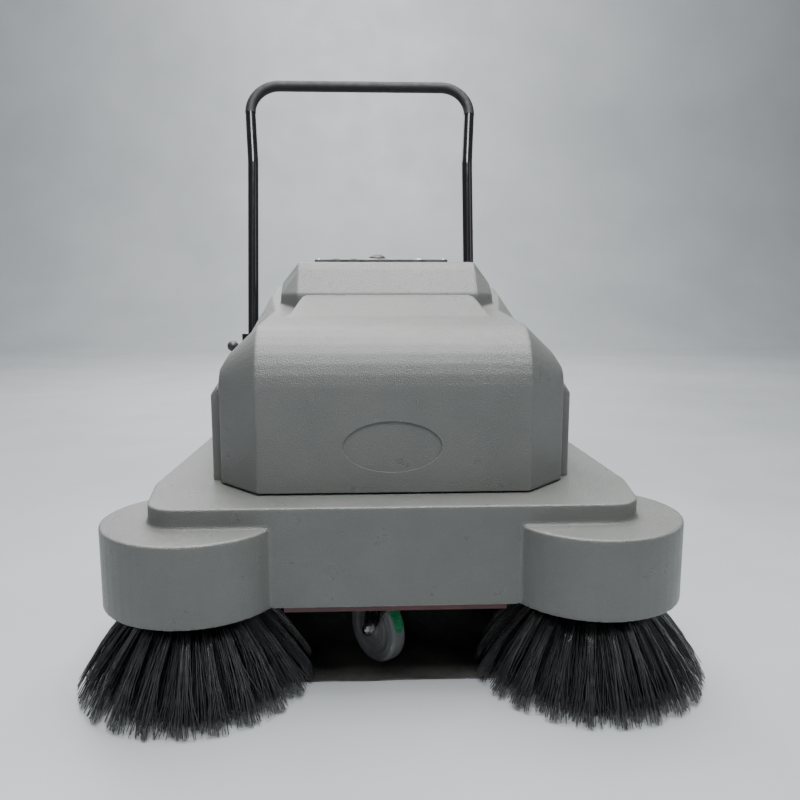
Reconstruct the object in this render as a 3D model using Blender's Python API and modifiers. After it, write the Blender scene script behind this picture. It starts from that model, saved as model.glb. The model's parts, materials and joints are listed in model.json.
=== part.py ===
"""Walk behind sweeper with two side brushes, a main brush and a rear dust hopper.

X is to the right, Y runs from the front brushes to the push handle, Z is up from the floor.
Pieces are drawn with Y = 0 at the deck's front wall; one empty moves them so that the
object stands on the middle of its own footprint.
"""
import math

import bmesh
import bpy
from mathutils import Matrix, Vector

# Driving dimensions, in metres
GAP = 0.0003
WALL = 0.004
CENTRE_Y = 0.44797

DECK_BOTTOM = 0.157
DECK_TOP = 0.3258
GUARD_TOP = 0.2912
GUARD_RADIUS = 0.152
BRUSH_X = 0.339
BRUSH_Y = 0.0735
BRUSH_RADIUS = 0.2012
BRUSH_TILT = 0.046

BODY_BASE = DECK_TOP + 0.0005
HOOD_LIFT = 0.0025
HOOD_FRONT = 0.0728
HOOD_REAR = 0.4285
HOOD_SIDE = 0.306
PANEL_SIDE = 0.3255
COVER_FRONT = 0.4405
COVER_REAR = 0.80
HUMP_TOP = 0.721
HINGE_Y = 0.4350
HINGE_Z = 0.6460
STAY_PIVOT = (0.2555, 0.175, 0.3155)

FRAME_TOP = 0.304
SIDE_PLATE = 0.300
ROLLER_Y = 0.40
ROLLER_Z = 0.128
ROLLER_RADIUS = 0.125
MOTOR_Y = 0.50
MOTOR_Z = 0.36
BELT_X = (-0.262, -0.246)

CASTER_Y = 0.09
CASTER_TRAIL = 0.047
CASTER_TURN = math.radians(38)
CASTER_RADIUS = 0.0625
FLAP_THICKNESS = 0.002
CASTER_AXLE_Z = FLAP_THICKNESS + GAP + CASTER_RADIUS

WHEEL_X = 0.36
WHEEL_Y = 0.66
WHEEL_RADIUS = 0.125
WHEEL_WIDTH = 0.040

HANDLE_X = -0.055
HANDLE_HALF = 0.281
HANDLE_TOP_HALF = 0.296
HANDLE_TUBE = 0.01345
PIVOT_Y = 0.832
PIVOT_Z = 0.46
KINK = (0.937, 0.985)
TOP_BAR = (1.010, 1.190)

ARM_PIVOT = (0.166, 0.172)
LEVER_X = -0.270
LEVER_Y = 0.56
LEVER_Z = 0.40
KNOB_CENTRE = (-0.343, 0.56, 0.536)

PANEL_TOP = 0.7275
STOP_BUTTON = (-0.018, 0.65)
KEY = (0.080, 0.655)
ROCKERS = {"brush_rocker": -0.115, "fan_rocker": -0.072}
ROCKER_Y = 0.70


# Scene, collections and materials

def clear_scene():
    for thing in list(bpy.data.objects):
        bpy.data.objects.remove(thing, do_unlink=True)


def new_collection(name):
    made = bpy.data.collections.new(name)
    bpy.context.scene.collection.children.link(made)
    return made


clear_scene()
PARTS = new_collection("walk_behind_sweeper")
CUTTERS = new_collection("cutters")

COLOURS = {
    "grey_cover": ((0.130, 0.136, 0.127), 0.48, 0.0),
    "black_paint": ((0.012, 0.012, 0.013), 0.28, 0.0),
    "black_plastic": ((0.018, 0.018, 0.019), 0.45, 0.0),
    "red_frame": ((0.130, 0.012, 0.018), 0.40, 0.0),
    "zinc": ((0.52, 0.53, 0.55), 0.32, 1.0),
    "grey_tyre": ((0.24, 0.24, 0.23), 0.60, 0.0),
    "black_rubber": ((0.014, 0.014, 0.016), 0.70, 0.0),
    "black_bristle": ((0.010, 0.010, 0.011), 0.40, 0.0),
    "battery_case": ((0.030, 0.032, 0.036), 0.50, 0.0),
    "motor_paint": ((0.030, 0.031, 0.033), 0.40, 0.2),
    "filter_paper": ((0.62, 0.58, 0.48), 0.90, 0.0),
    "clear_lens": ((0.55, 0.58, 0.58), 0.15, 0.0),
}


def make_material(name):
    colour, roughness, metallic = COLOURS[name]
    material = bpy.data.materials.new(name)
    material.use_nodes = True
    shader = material.node_tree.nodes["Principled BSDF"]
    shader.inputs["Base Color"].default_value = (*colour, 1.0)
    shader.inputs["Roughness"].default_value = roughness
    shader.inputs["Metallic"].default_value = metallic
    return material


MATERIALS = {name: make_material(name) for name in COLOURS}

ROOT = bpy.data.objects.new("sweeper_origin", None)
ROOT.location = (0, -CENTRE_Y, 0)
PARTS.objects.link(ROOT)


def axis_empty(name, point, turn=(0, 0, 0), parent=ROOT):
    """An empty on a joint's axis; its children are drawn in its own frame."""
    made = bpy.data.objects.new(name, None)
    made.location = point
    made.rotation_euler = turn
    made.parent = parent
    PARTS.objects.link(made)
    return made


# Shapes. A shape without a material is a cutter or a helper for a join.

def add_object(name, mesh, material, parent, smooth=False):
    made = bpy.data.objects.new(name, mesh)
    made.parent = parent
    if material:
        mesh.materials.append(MATERIALS[material])
        PARTS.objects.link(made)
    else:
        CUTTERS.objects.link(made)
        made.hide_render = True
        made.display_type = "WIRE"
    if smooth:
        mesh.shade_smooth()
        mesh.set_sharp_from_angle(angle=math.radians(35))
    return made


def box(name, low, high, material=None, parent=ROOT, bevel=0.0):
    """A box between two corners, with its origin at its middle."""
    low, high = Vector(low), Vector(high)
    size = high - low
    work = bmesh.new()
    bmesh.ops.create_cube(work, size=1.0, matrix=Matrix.Diagonal((*size, 1.0)))
    mesh = bpy.data.meshes.new(name)
    work.to_mesh(mesh)
    work.free()
    made = add_object(name, mesh, material, parent)
    made.location = (low + high) / 2
    if bevel:
        add_bevel(made, bevel)
    return made


def add_bevel(made, width, segments=2, angle=40):
    edge = made.modifiers.new("rounded_edges", "BEVEL")
    edge.width = width
    edge.segments = segments
    edge.limit_method = "ANGLE"
    edge.angle_limit = math.radians(angle)


AXIS_TURNS = {
    "X": (0, math.radians(90), 0),
    "Y": (math.radians(-90), 0, 0),
    "Z": (0, 0, 0),
}


def cylinder(name, centre, radius, length, axis="Z", material=None, parent=ROOT, sides=24):
    """A round bar about its centre, along X, Y or Z."""
    work = bmesh.new()
    bmesh.ops.create_cone(work, cap_ends=True, segments=sides, radius1=radius, radius2=radius,
                          depth=length)
    mesh = bpy.data.meshes.new(name)
    work.to_mesh(mesh)
    work.free()
    made = add_object(name, mesh, material, parent, smooth=True)
    made.location = centre
    made.rotation_euler = AXIS_TURNS[axis]
    return made


def turned(name, profile, centre, axis="Z", material=None, parent=ROOT, steps=18):
    """A turned piece: (radius, height) points from the top down the outer side to the bottom."""
    work = bmesh.new()
    points = [work.verts.new((radius, 0, height)) for radius, height in profile]
    for first, second in zip(points, points[1:]):
        work.edges.new((first, second))
    if profile[0][0] > 0:
        work.edges.new((points[-1], points[0]))
    mesh = bpy.data.meshes.new(name)
    work.to_mesh(mesh)
    work.free()
    made = add_object(name, mesh, material, parent)
    made.location = centre
    made.rotation_euler = AXIS_TURNS[axis]
    spin = made.modifiers.new("turn", "SCREW")
    spin.axis = "Z"
    spin.steps = steps
    spin.render_steps = steps
    spin.use_merge_vertices = True
    spin.merge_threshold = 0.00001
    spin.use_smooth_shade = True
    return made


def rounded(corners, steps=4):
    """A closed outline: each corner is (x, y, radius), and a radius of 0 stays sharp."""
    outline = []
    count = len(corners)
    for index, (x, y, radius) in enumerate(corners):
        here = Vector((x, y))
        if radius == 0:
            outline.append(tuple(here))
            continue
        back = (Vector(corners[index - 1][:2]) - here).normalized()
        ahead = (Vector(corners[(index + 1) % count][:2]) - here).normalized()
        half = back.angle(ahead) / 2
        reach = radius / math.tan(half)
        centre = here + (back + ahead).normalized() * (radius / math.sin(half))
        start = here + back * reach - centre
        end = here + ahead * reach - centre
        sweep = start.angle_signed(end)
        for step in range(steps + 1):
            turn = Matrix.Rotation(-sweep * step / steps, 2)
            outline.append(tuple(centre + turn @ start))
    return outline


PLANES = {
    "XY": Matrix.Identity(4),
    "XZ": Matrix(((1, 0, 0, 0), (0, 0, -1, 0), (0, 1, 0, 0), (0, 0, 0, 1))),
    "YZ": Matrix(((0, 0, 1, 0), (1, 0, 0, 0), (0, 1, 0, 0), (0, 0, 0, 1))),
}
ACROSS = {"XY": 2, "XZ": 1, "YZ": 0}


def plate(name, outline, plane, low, high, material=None, parent=ROOT):
    """A flat outline drawn in a plane and given the thickness from low to high."""
    curve = bpy.data.curves.new(name, "CURVE")
    curve.dimensions = "2D"
    curve.fill_mode = "BOTH"
    curve.extrude = (high - low) / 2
    line = curve.splines.new("POLY")
    line.points.add(len(outline) - 1)
    for point, (x, y) in zip(line.points, outline):
        point.co = (x, y, 0, 1)
    line.use_cyclic_u = True
    shift = [0, 0, 0]
    shift[ACROSS[plane]] = (low + high) / 2
    mesh = curve_mesh(name, curve, Matrix.Translation(shift) @ PLANES[plane])
    return add_object(name, mesh, material, parent)


def curve_mesh(name, curve, matrix=None):
    """The curve as a closed mesh, with its caps welded."""
    helper = bpy.data.objects.new(name + "_curve", curve)
    CUTTERS.objects.link(helper)
    graph = bpy.context.evaluated_depsgraph_get()
    mesh = bpy.data.meshes.new_from_object(helper.evaluated_get(graph))
    mesh.materials.clear()
    work = bmesh.new()
    work.from_mesh(mesh)
    bmesh.ops.remove_doubles(work, verts=work.verts, dist=0.00001)
    if matrix:
        bmesh.ops.transform(work, matrix=matrix, verts=work.verts)
    bmesh.ops.recalc_face_normals(work, faces=work.faces)
    work.to_mesh(mesh)
    work.free()
    bpy.data.objects.remove(helper)
    bpy.data.curves.remove(curve)
    mesh.name = name
    return mesh


def lofted(name, rings, material=None, parent=ROOT):
    """A closed skin through rings of equally many points, with both ends capped."""
    work = bmesh.new()
    loops = [[work.verts.new(point) for point in ring] for ring in rings]
    for first, second in zip(loops, loops[1:]):
        for index in range(len(first)):
            work.faces.new((first[index - 1], first[index], second[index], second[index - 1]))
    work.faces.new(loops[0])
    work.faces.new(loops[-1])
    bmesh.ops.triangulate(work, faces=work.faces)
    bmesh.ops.recalc_face_normals(work, faces=work.faces)
    mesh = bpy.data.meshes.new(name)
    work.to_mesh(mesh)
    work.free()
    return add_object(name, mesh, material, parent)


def tube(name, points, radius, material=None, parent=ROOT, resolution=2):
    """A round bar bent through the points."""
    curve = bpy.data.curves.new(name, "CURVE")
    curve.dimensions = "3D"
    curve.bevel_depth = radius
    curve.bevel_resolution = resolution
    curve.use_fill_caps = True
    line = curve.splines.new("POLY")
    line.points.add(len(points) - 1)
    for point, place in zip(line.points, points):
        point.co = (*place, 1)
    return add_object(name, curve_mesh(name, curve), material, parent, smooth=True)


def combine(target, others, operation):
    for other in others:
        step = target.modifiers.new(operation.lower(), "BOOLEAN")
        step.operation = operation
        step.solver = "EXACT"
        step.object = other
    return target


def join(target, *others):
    return combine(target, others, "UNION")


def cut(target, *others):
    return combine(target, others, "DIFFERENCE")


def mirrored(half):
    """A closed outline from the half at positive X, listed from the front or bottom to the top."""
    return half + [(-x, y) for x, y in reversed(half)]


# Covers

def deck_outline(inset=0.0):
    right = [(0.402, inset, 0.055), (0.424, 0.16, 0.12), (0.388, 0.86 - inset, 0.05)]
    corners = []
    for x, y, radius in right:
        corners.append((x - inset, y, radius - inset))
    for x, y, radius in reversed(right):
        corners.append((-x + inset, y, radius - inset))
    return rounded(corners, steps=5)


def deck_cover():
    """The skirt with its two round brush guards, open below."""
    cover = plate("deck_cover", deck_outline(), "XY", DECK_BOTTOM, DECK_TOP, "grey_cover")
    below = DECK_BOTTOM - 0.02
    guards = []
    hollows = [plate("deck_hollow", deck_outline(WALL), "XY", below, DECK_TOP - WALL)]
    for side in (-1, 1):
        x = side * BRUSH_X
        middle = (DECK_BOTTOM + GUARD_TOP) / 2
        guards.append(cylinder("guard", (x, BRUSH_Y, middle), GUARD_RADIUS,
                               GUARD_TOP - DECK_BOTTOM, sides=48))
        roof = GUARD_TOP - WALL
        hollows.append(cylinder("guard_hollow", (x, BRUSH_Y, (below + roof) / 2),
                                GUARD_RADIUS - WALL, roof - below, sides=48))
    join(cover, *guards)
    cut(cover, *hollows)
    cut(cover, box("service_opening", (-0.27, 0.13, 0.30), (0.27, 0.78, 0.35)))
    cut(cover, box("hopper_opening", (-0.298, 0.80, 0.10), (0.298, 0.90, 0.312)))


# Half width, front, top at the front, top at the rear, radius of the top front corner
HOOD_STATIONS = [
    (0.232, HOOD_FRONT, 0.605, 0.6215, 0.098),
    (0.288, 0.134, 0.555, 0.568, 0.050),
    (0.3035, 0.151, 0.531, 0.540, 0.020),
    (HOOD_SIDE, 0.156, 0.506, 0.512, 0.008)]


def hood_shell(name, inset=0.0, material=None):
    """The hood without its ramp, drawn through side outlines from left to right."""
    base = BODY_BASE + (-0.05 if inset else HOOD_LIFT)
    rear = HOOD_REAR + (0.02 if inset else 0)
    rings = []
    for half, front, top, rear_top, radius in HOOD_STATIONS:
        outline = rounded([
            (front + inset, base, 0), (front + inset, top - inset, radius - inset),
            (rear, rear_top - inset, 0), (rear, base, 0)], steps=8)
        rings.append([(half - inset, y, z) for y, z in outline])
    left = [[(-x, y, z) for x, y, z in ring] for ring in reversed(rings)]
    return lofted(name, left + rings, material)


def body_section(points, inset=0.0):
    """Mirrored cross section: a straight side up to the first point, then the shoulder."""
    half = [(points[0][0] - inset, 0.25)]
    half += [(x - inset, z - inset * 0.6) for x, z in points]
    return mirrored(half)


RAMP = ((0.2484, 0.600), (0.395, 0.6495), (HOOD_REAR, 0.653), (HOOD_REAR, 0.600))


def ramp(name, inset=0.0):
    """The raised tray that leads up to the console."""
    front, top, rear, low = RAMP
    reach = 0.02 if inset else 0
    profile = [(front[0] + inset * 2, front[1]), (top[0] + inset * 0.5, top[1] - inset),
               (rear[0] + reach, rear[1] - inset), (low[0] + reach, low[1])]
    body = plate(name, profile, "YZ", -0.25, 0.25)
    plan = mirrored([(0.2072 - inset, 0.23), (0.1644 - inset, 0.46)])
    return combine(body, [plate(name + "_plan", plan, "XY", 0.5, 0.8)], "INTERSECT")


def front_hood():
    """The tilting hood over the batteries, with a shallow oval recess in its front."""
    hood = hood_shell("front_hood", material="grey_cover")
    join(hood, ramp("ramp"))
    hollow = hood_shell("hood_hollow", WALL)
    cut(hood, hollow, ramp("ramp_hollow", WALL))
    recess = cylinder("oval_recess", (-0.0035, HOOD_FRONT, 0.4083), 1.0, 0.0024, axis="Y",
                      sides=48)
    recess.data.transform(Matrix.Diagonal((0.0848, 0.0445, 1.0, 1.0)))
    return cut(hood, recess)


# Y, then the half section: it starts in line with the hood and widens towards the rear
FRONT_SHOULDER = [(0.335, 0.4806), (0.3045, 0.543), (0.288, 0.5695), (0.146, 0.70)]
REAR_SHOULDER = [(0.335, 0.489), (0.316, 0.541), (0.285, 0.60), (0.228, 0.70)]
SHOULDERS = [(0.20, FRONT_SHOULDER), (0.434, FRONT_SHOULDER), (0.62, REAR_SHOULDER),
             (1.0, REAR_SHOULDER)]


def rear_block(name, inset=0.0):
    reach = 0.05 if inset else 0
    plan = rounded([
        (PANEL_SIDE - inset, COVER_FRONT - 0.0085 - reach, 0),
        (PANEL_SIDE - inset, COVER_REAR - inset, 0.03 - inset),
        (-PANEL_SIDE + inset, COVER_REAR - inset, 0.03 - inset),
        (-PANEL_SIDE + inset, COVER_FRONT - 0.0085 - reach, 0)])
    base = BODY_BASE - reach
    profile = rounded([
        (0.30, base, 0),
        (0.30, 0.588 - inset, 0),
        (0.432, 0.620 - inset, 0.05),
        (0.60, 0.664 - inset, 0.05),
        (COVER_REAR - inset, 0.668 - inset, 0.04 - inset),
        (COVER_REAR - inset, base, 0)])
    rings = [[(x, y, z) for x, z in body_section(points, inset)] for y, points in SHOULDERS]
    body = plate(name, plan, "XY", 0.2, 0.9, None if inset else "grey_cover")
    side = plate(name + "_profile", profile, "YZ", -0.5, 0.5)
    return combine(body, (side, lofted(name + "_section", rings)), "INTERSECT")


# Half width, front, top of the upright part, middle of the slope, top
HUMP_STATIONS = [
    (0.188, COVER_FRONT, 0.655, 0.706, HUMP_TOP),
    (0.2255, 0.4752, 0.6516, 0.6724, 0.6773)]


def hump(name, inset=0.0):
    """The console's raised box, with sloping front and shoulders."""
    rings = []
    for half, front, low, middle, top in HUMP_STATIONS:
        outline = rounded([
            (front + inset, 0.56, 0),
            (front + inset, low, 0),
            (front + 0.0415 + inset, middle - inset * 0.5, 0.010 - inset),
            (front + 0.0595 + inset, top - inset, 0.016 - inset),
            (COVER_REAR - 0.03 - inset, top - inset, 0.02 - inset),
            (COVER_REAR - 0.012 - inset, 0.56, 0)])
        rings.append([(half - inset, y, z) for y, z in outline])
    left = [[(-x, y, z) for x, y, z in ring] for ring in reversed(rings)]
    return lofted(name, left + rings)


def rear_cover():
    """The fixed rear body: side panels, shoulders and the console hump."""
    cover = rear_block("rear_cover")
    front = 0.185
    panels = plate("side_panels", rounded([
        (front, BODY_BASE, 0), (front, 0.507, 0.018), (0.46, 0.513, 0), (0.46, BODY_BASE, 0)]),
        "YZ", -PANEL_SIDE, PANEL_SIDE)
    slope = mirrored([(PANEL_SIDE, 0.25), (PANEL_SIDE, 0.482), (HOOD_SIDE, 0.514)])
    combine(panels, [plate("panel_slope", slope, "XZ", 0.1, 0.5)], "INTERSECT")
    join(cover, panels, hump("console_hump"))
    inner = rear_block("cover_hollow", WALL)
    keep_wall = box("front_wall_zone", (-0.4, 0.3, 0.2), (0.4, COVER_FRONT - 0.0045, 0.9))
    cut(inner, keep_wall)
    cut(cover, inner, hump("hump_hollow", WALL))
    hood_side = HOOD_SIDE + 0.0012
    zone = box("hood_zone", (-hood_side, 0.1, 0.3), (hood_side, COVER_FRONT - 0.0085, 0.8))
    groove = box("hinge_groove", (-0.1905, 0.42, 0.598), (0.1905, COVER_FRONT, 0.80))
    passage = plate("front_passage", mirrored([(0.27, 0.30), (0.27, 0.50), (0.235, 0.592)]),
                    "XZ", 0.40, 0.47)
    slot = box("lever_slot", (-0.36, LEVER_Y - 0.011, 0.488), (-0.30, LEVER_Y + 0.085, 0.535))
    hatch = box("rear_hatch", (-0.14, 0.575, 0.70), (0.12, 0.755, 0.75))
    return cut(cover, zone, groove, passage, slot, hatch)


# Hood hinge and stay

def hinge():
    """Two leaves and a pin in the groove between the hood and the console."""
    hood_axis = axis_empty("hood_axis", (0, HINGE_Y, HINGE_Z))
    barrel, bore, reach, split = 0.005, 0.0027, 0.15, 0.0500
    rear = box("hinge_leaf_rear", (-reach, HINGE_Y + 0.0025, 0.602),
               (reach, COVER_FRONT - GAP, HINGE_Z), "zinc")
    cut(rear, box("leaf_gap", (-split, 0.42, 0.634), (split, 0.45, 0.67)))
    for side in (-1, 1):
        middle = side * (split + reach) / 2
        join(rear, cylinder("rear_barrel", (middle, HINGE_Y, HINGE_Z), barrel, reach - split,
                            axis="X", sides=16))
    hole = cylinder("hinge_bore", (0, HINGE_Y, HINGE_Z), bore, 0.4, axis="X", sides=16)
    cut(rear, hole)
    front_leaf = box("hinge_leaf_front", (-reach, -0.028, -0.0028), (reach, -0.0055, -0.0004),
                     "zinc", hood_axis)
    join(front_leaf,
         box("leaf_tab", (-split + GAP, -0.02, -0.0028), (split - GAP, -0.001, -0.0004),
             None, hood_axis),
         cylinder("front_barrel", (0, 0, 0), barrel, 2 * (split - GAP), "X", None, hood_axis, 16))
    cut(front_leaf, hole)
    cylinder("hinge_pin", (0, HINGE_Y, HINGE_Z), bore - GAP, 2 * reach + 0.001, "X", "zinc",
             sides=16)
    hood = bpy.data.objects["front_hood"]
    hood.parent = hood_axis
    hood.matrix_parent_inverse = Matrix.Translation((0, -HINGE_Y, -HINGE_Z))
    stay_axis = axis_empty("stay_axis", STAY_PIVOT)
    tube("hood_stay", [(0.013, 0, 0), (0, 0, 0), (0, 0.24, 0)], 0.004, "zinc", stay_axis)


# Frame

SIDE_OUTLINE = [(0.20, 0.158), (0.285, 0.158), (0.285, 0.05), (0.80, 0.05), (0.80, 0.303),
                (0.20, 0.303)]


def main_frame():
    """Welded steel: plate, side plates, front beam, caster pedestal, flap bars, hopper ledges."""
    inner = SIDE_PLATE - 0.004
    middle = SIDE_PLATE - 0.002
    frame = plate("main_frame", mirrored([(0.19, 0.02), (0.19, 0.12), (0.27, 0.16),
                                          (middle, 0.21), (middle, 0.797)]),
                  "XY", FRAME_TOP - 0.004, FRAME_TOP, "red_frame")
    join(frame,
         box("front_beam", (-0.186, 0.021, 0.1405), (0.186, 0.0495, 0.176)),
         box("pedestal", (-0.045, 0.049, 0.1603), (0.045, 0.132, 0.302)),
         box("flap_bar", (-middle, 0.2348, 0.145), (middle, 0.262, 0.175)),
         box("lip_bar", (-middle, 0.5365, 0.062), (middle, 0.545, 0.085)))
    for side in (-1, 1):
        join(frame,
             plate("side_plate", SIDE_OUTLINE, "YZ", *sorted((side * inner, side * SIDE_PLATE))),
             side_box(side, "post", (0.164, 0.023, 0.17), (0.184, 0.048, 0.3025)),
             side_box(side, "ledge", (0.2845, 0.55, 0.250), (middle, 0.79, 0.259)))
        for y in (0.22, 0.50, 0.75):
            join(frame, side_box(side, "pad", (0.275, y - 0.012, 0.301),
                                 (0.292, y + 0.012, DECK_TOP - WALL - GAP)))
    lug = box("stay_lug", (0.2605, 0.165, 0.301), (0.2650, 0.185, 0.3245))
    join(frame, lug)
    cut(frame,
        cylinder("stay_hole", (0.26, *STAY_PIVOT[1:]), 0.0046, 0.03, axis="X", sides=16),
        cylinder("shaft_hole", (0, ROLLER_Y, ROLLER_Z), 0.0108, 0.7, axis="X"),
        box("belt_slot", (BELT_X[0] - 0.006, 0.425, 0.29), (BELT_X[1] + 0.006, 0.53, 0.31)),
        box("dust_opening", (-0.17, 0.60, 0.29), (0.17, 0.74, 0.31)))


def side_box(side, name, low, high, material=None, parent=ROOT, bevel=0.0):
    """A box given for the right side; side -1 mirrors it to the left."""
    ends = sorted((side * low[0], side * high[0]))
    return box(name, (ends[0], *low[1:]), (ends[1], *high[1:]), material, parent, bevel)


def side_name(side):
    return "left" if side < 0 else "right"


def side_turned(side, name, profile, centre, material, parent=ROOT, steps=14):
    """A turned piece along X whose top points away from the middle."""
    made = turned(name, profile, (side * centre[0], *centre[1:]), "X", material, parent, steps)
    if side < 0:
        made.rotation_euler = (0, math.radians(-90), 0)
    return made


# Push handle

def bent(points, radius, steps):
    """Straight runs through the points, with each bend rounded."""
    path = [Vector(points[0])]
    for before, here, after in zip(points, points[1:], points[2:]):
        here = Vector(here)
        back = (Vector(before) - here).normalized()
        ahead = (Vector(after) - here).normalized()
        half = back.angle(ahead) / 2
        reach = min(radius / math.tan(half), 0.08)
        size = reach * math.tan(half)
        centre = here + (back + ahead).normalized() * (size / math.sin(half))
        start = here + back * reach - centre
        end = here + ahead * reach - centre
        for step in range(steps + 1):
            path.append(centre + start.slerp(end, step / steps).normalized() * size)
    path.append(Vector(points[-1]))
    return path


def push_handle():
    """One bent tube on two brackets, pivoting on its clamp bolts."""
    axis = axis_empty("handle_axis", (HANDLE_X, PIVOT_Y, PIVOT_Z))
    up = (Vector(KINK) - Vector((PIVOT_Y, PIVOT_Z))).normalized()
    foot = -up * 0.014
    kink = Vector(KINK) - Vector((PIVOT_Y, PIVOT_Z))
    top = Vector(TOP_BAR) - Vector((PIVOT_Y, PIVOT_Z))
    half = [(HANDLE_HALF, *foot), (HANDLE_HALF, *kink), (HANDLE_TOP_HALF, *top)]
    corners = half + [(-x, y, z) for x, y, z in reversed(half)]
    handle = tube("push_handle", bent(corners, 0.075, 6), HANDLE_TUBE, "black_paint", axis, 3)
    ends = [(HANDLE_HALF, *(foot * 1.2)), (-HANDLE_HALF, *(foot * 1.2))]
    inside = bent([ends[0], *corners[1:-1], ends[1]], 0.075, 6)
    cut(handle,
        tube("tube_inside", inside, HANDLE_TUBE - 0.0017, None, axis, 2),
        cylinder("bolt_bore", (0, 0, 0), 0.0056, 0.7, "X", None, axis, 16))
    for side in (-1, 1):
        name = side_name(side)
        x = HANDLE_X + side * HANDLE_HALF
        wide = (x - 0.022, x + 0.085) if side < 0 else (x - 0.022, x + 0.062)
        bracket = box("handle_bracket_" + name, (wide[0], COVER_REAR + GAP, 0.405),
                      (wide[1], COVER_REAR + 0.0043, 0.545), "black_paint")
        for cheek in (-1, 1):
            near, far = sorted((x + cheek * 0.0165, x + cheek * 0.0205))
            profile = rounded([(0.802, 0.425, 0), (PIVOT_Y + 0.020, 0.445, 0.012),
                               (PIVOT_Y + 0.022, 0.480, 0.016), (0.802, 0.505, 0)])
            join(bracket, plate("cheek", profile, "YZ", near, far))
        cut(bracket, cylinder("cheek_bore", (x, PIVOT_Y, PIVOT_Z), 0.0056, 0.06, "X", sides=16))
        knob = turned("handle_knob_" + name, [
            (0, 0.028), (0.016, 0.028), (0.022, 0.022), (0.022, 0.010), (0.012, 0.003),
            (0.012, 0), (0.0052, 0), (0.0052, -0.045), (0, -0.045)],
            (x + side * 0.0208, PIVOT_Y, PIVOT_Z), "X", "black_plastic", ROOT, 16)
        if side < 0:
            knob.rotation_euler = (0, math.radians(-90), 0)


# Brush lift lever

def lift_lever():
    """The hand lever that raises both side brushes, with its ball knob and pivot bracket."""
    axis = axis_empty("lever_axis", (LEVER_X, LEVER_Y, LEVER_Z))
    knob = Vector(KNOB_CENTRE) - Vector((LEVER_X, LEVER_Y, LEVER_Z))
    bend = Vector((0.0035, 0, 0.050))
    along = (knob - bend).normalized()
    lever = cylinder("lift_lever", (0.0035, 0, 0), 0.010, 0.008, "X", "zinc", axis, 20)
    join(lever, tube("lever_rod", [(0.0035, 0, 0.006), tuple(bend), tuple(knob - along * 0.0108)],
                     0.004, None, axis))
    cut(lever, cylinder("lever_bore", (0, 0, 0), 0.0043, 0.05, "X", None, axis, 16))
    ball = [(0.0125 * math.sin(math.radians(a)), 0.0125 * math.cos(math.radians(a)))
            for a in range(0, 145, 18)]
    grip = turned("lever_knob", ball + [(0.0055, -0.0105), (0, -0.0105)], tuple(knob), "Z",
                  "black_plastic", axis, 14)
    grip.rotation_euler = along.to_track_quat("Z", "Y").to_euler()
    mount = box("lever_mount", (-0.2620, LEVER_Y - 0.012, FRAME_TOP + GAP),
                (-0.2575, LEVER_Y + 0.012, LEVER_Z + 0.012), "zinc")
    join(mount,
         box("mount_foot", (-0.262, LEVER_Y - 0.012, FRAME_TOP + GAP),
             (-0.243, LEVER_Y + 0.012, FRAME_TOP + 0.0035)),
         cylinder("mount_pin", (-0.2675, LEVER_Y, LEVER_Z), 0.004, 0.014, "X", sides=16))


# Front caster

def caster():
    """A swivel caster whose wheel stands on the flap's laid end."""
    box("caster_plate", (-0.050, 0.0500, 0.1571), (0.050, 0.131, 0.1600), "zinc")
    swivel = axis_empty("swivel_axis", (0, CASTER_Y, 0), (0, 0, CASTER_TURN))
    fork = cylinder("caster_fork", (0, 0, 0.1481), 0.027, 0.0174, "Z", "zinc", swivel, 32)
    join(fork, box("fork_head", (-0.0215, -0.022, 0.1365), (0.0215, 0.050, 0.1405), None, swivel))
    trail, height = CASTER_TRAIL, CASTER_AXLE_Z
    leg = rounded([(-0.020, 0.1385, 0), (0.048, 0.1385, 0), (trail + 0.013, height, 0.008),
                   (trail, height - 0.014, 0.008), (trail - 0.013, height, 0.008)])
    for side in (-1, 1):
        near, far = sorted((side * 0.0185, side * 0.0215))
        join(fork, plate("fork_leg", leg, "YZ", near, far, None, swivel))
    cut(fork, cylinder("axle_bore", (0, trail, height), 0.0063, 0.08, "X", None, swivel, 16))
    turned("caster_axle", [
        (0, 0.030), (0.0095, 0.030), (0.0095, 0.0218), (0.006, 0.0218), (0.006, -0.0218),
        (0.0095, -0.0218), (0.0095, -0.029), (0.006, -0.029), (0.006, -0.034), (0, -0.034)],
        (0, trail, height), "X", "zinc", swivel, 16)
    half = [(0.0064, 0.0165), (0.013, 0.0165), (0.015, 0.0105), (0.041, 0.0105),
            (0.045, 0.0148), (0.0585, 0.0148), (CASTER_RADIUS, 0.0085)]
    turned("caster_wheel", there_and_back(half), (0, trail, height), "X", "grey_tyre", swivel, 28)


def there_and_back(half):
    """A symmetric turned profile from its upper half."""
    return half + [(radius, -height) for radius, height in reversed(half)]


# Flaps

def flaps():
    """Rubber skirts round the main brush; the front one drags forward along the floor."""
    back, bend, low = 0.2345, 0.045, 0.005
    turn = [math.radians(a) for a in range(0, 91, 15)]
    middle = back - bend
    outer = [(middle + bend * math.cos(a), bend - bend * math.sin(a)) for a in turn]
    thin = bend - FLAP_THICKNESS
    inner = [(middle + thin * math.cos(a), bend - thin * math.sin(a)) for a in reversed(turn)]
    tail = [(0.048, 0), (0.048, FLAP_THICKNESS)]
    outline = [(back, 0.165)] + outer + tail + inner + [(back - FLAP_THICKNESS, 0.165)]
    plate("front_flap", outline, "YZ", -0.20, 0.20, "black_rubber")
    box("rear_flap", (-0.275, 0.5335, low), (0.275, 0.5362, 0.085), "black_rubber")
    for side in (-1, 1):
        side_box(side, side_name(side) + "_flap", (SIDE_PLATE + GAP, 0.285, low),
                 (SIDE_PLATE + 0.0035, 0.53, 0.09), "black_rubber")


# Side brushes

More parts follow.
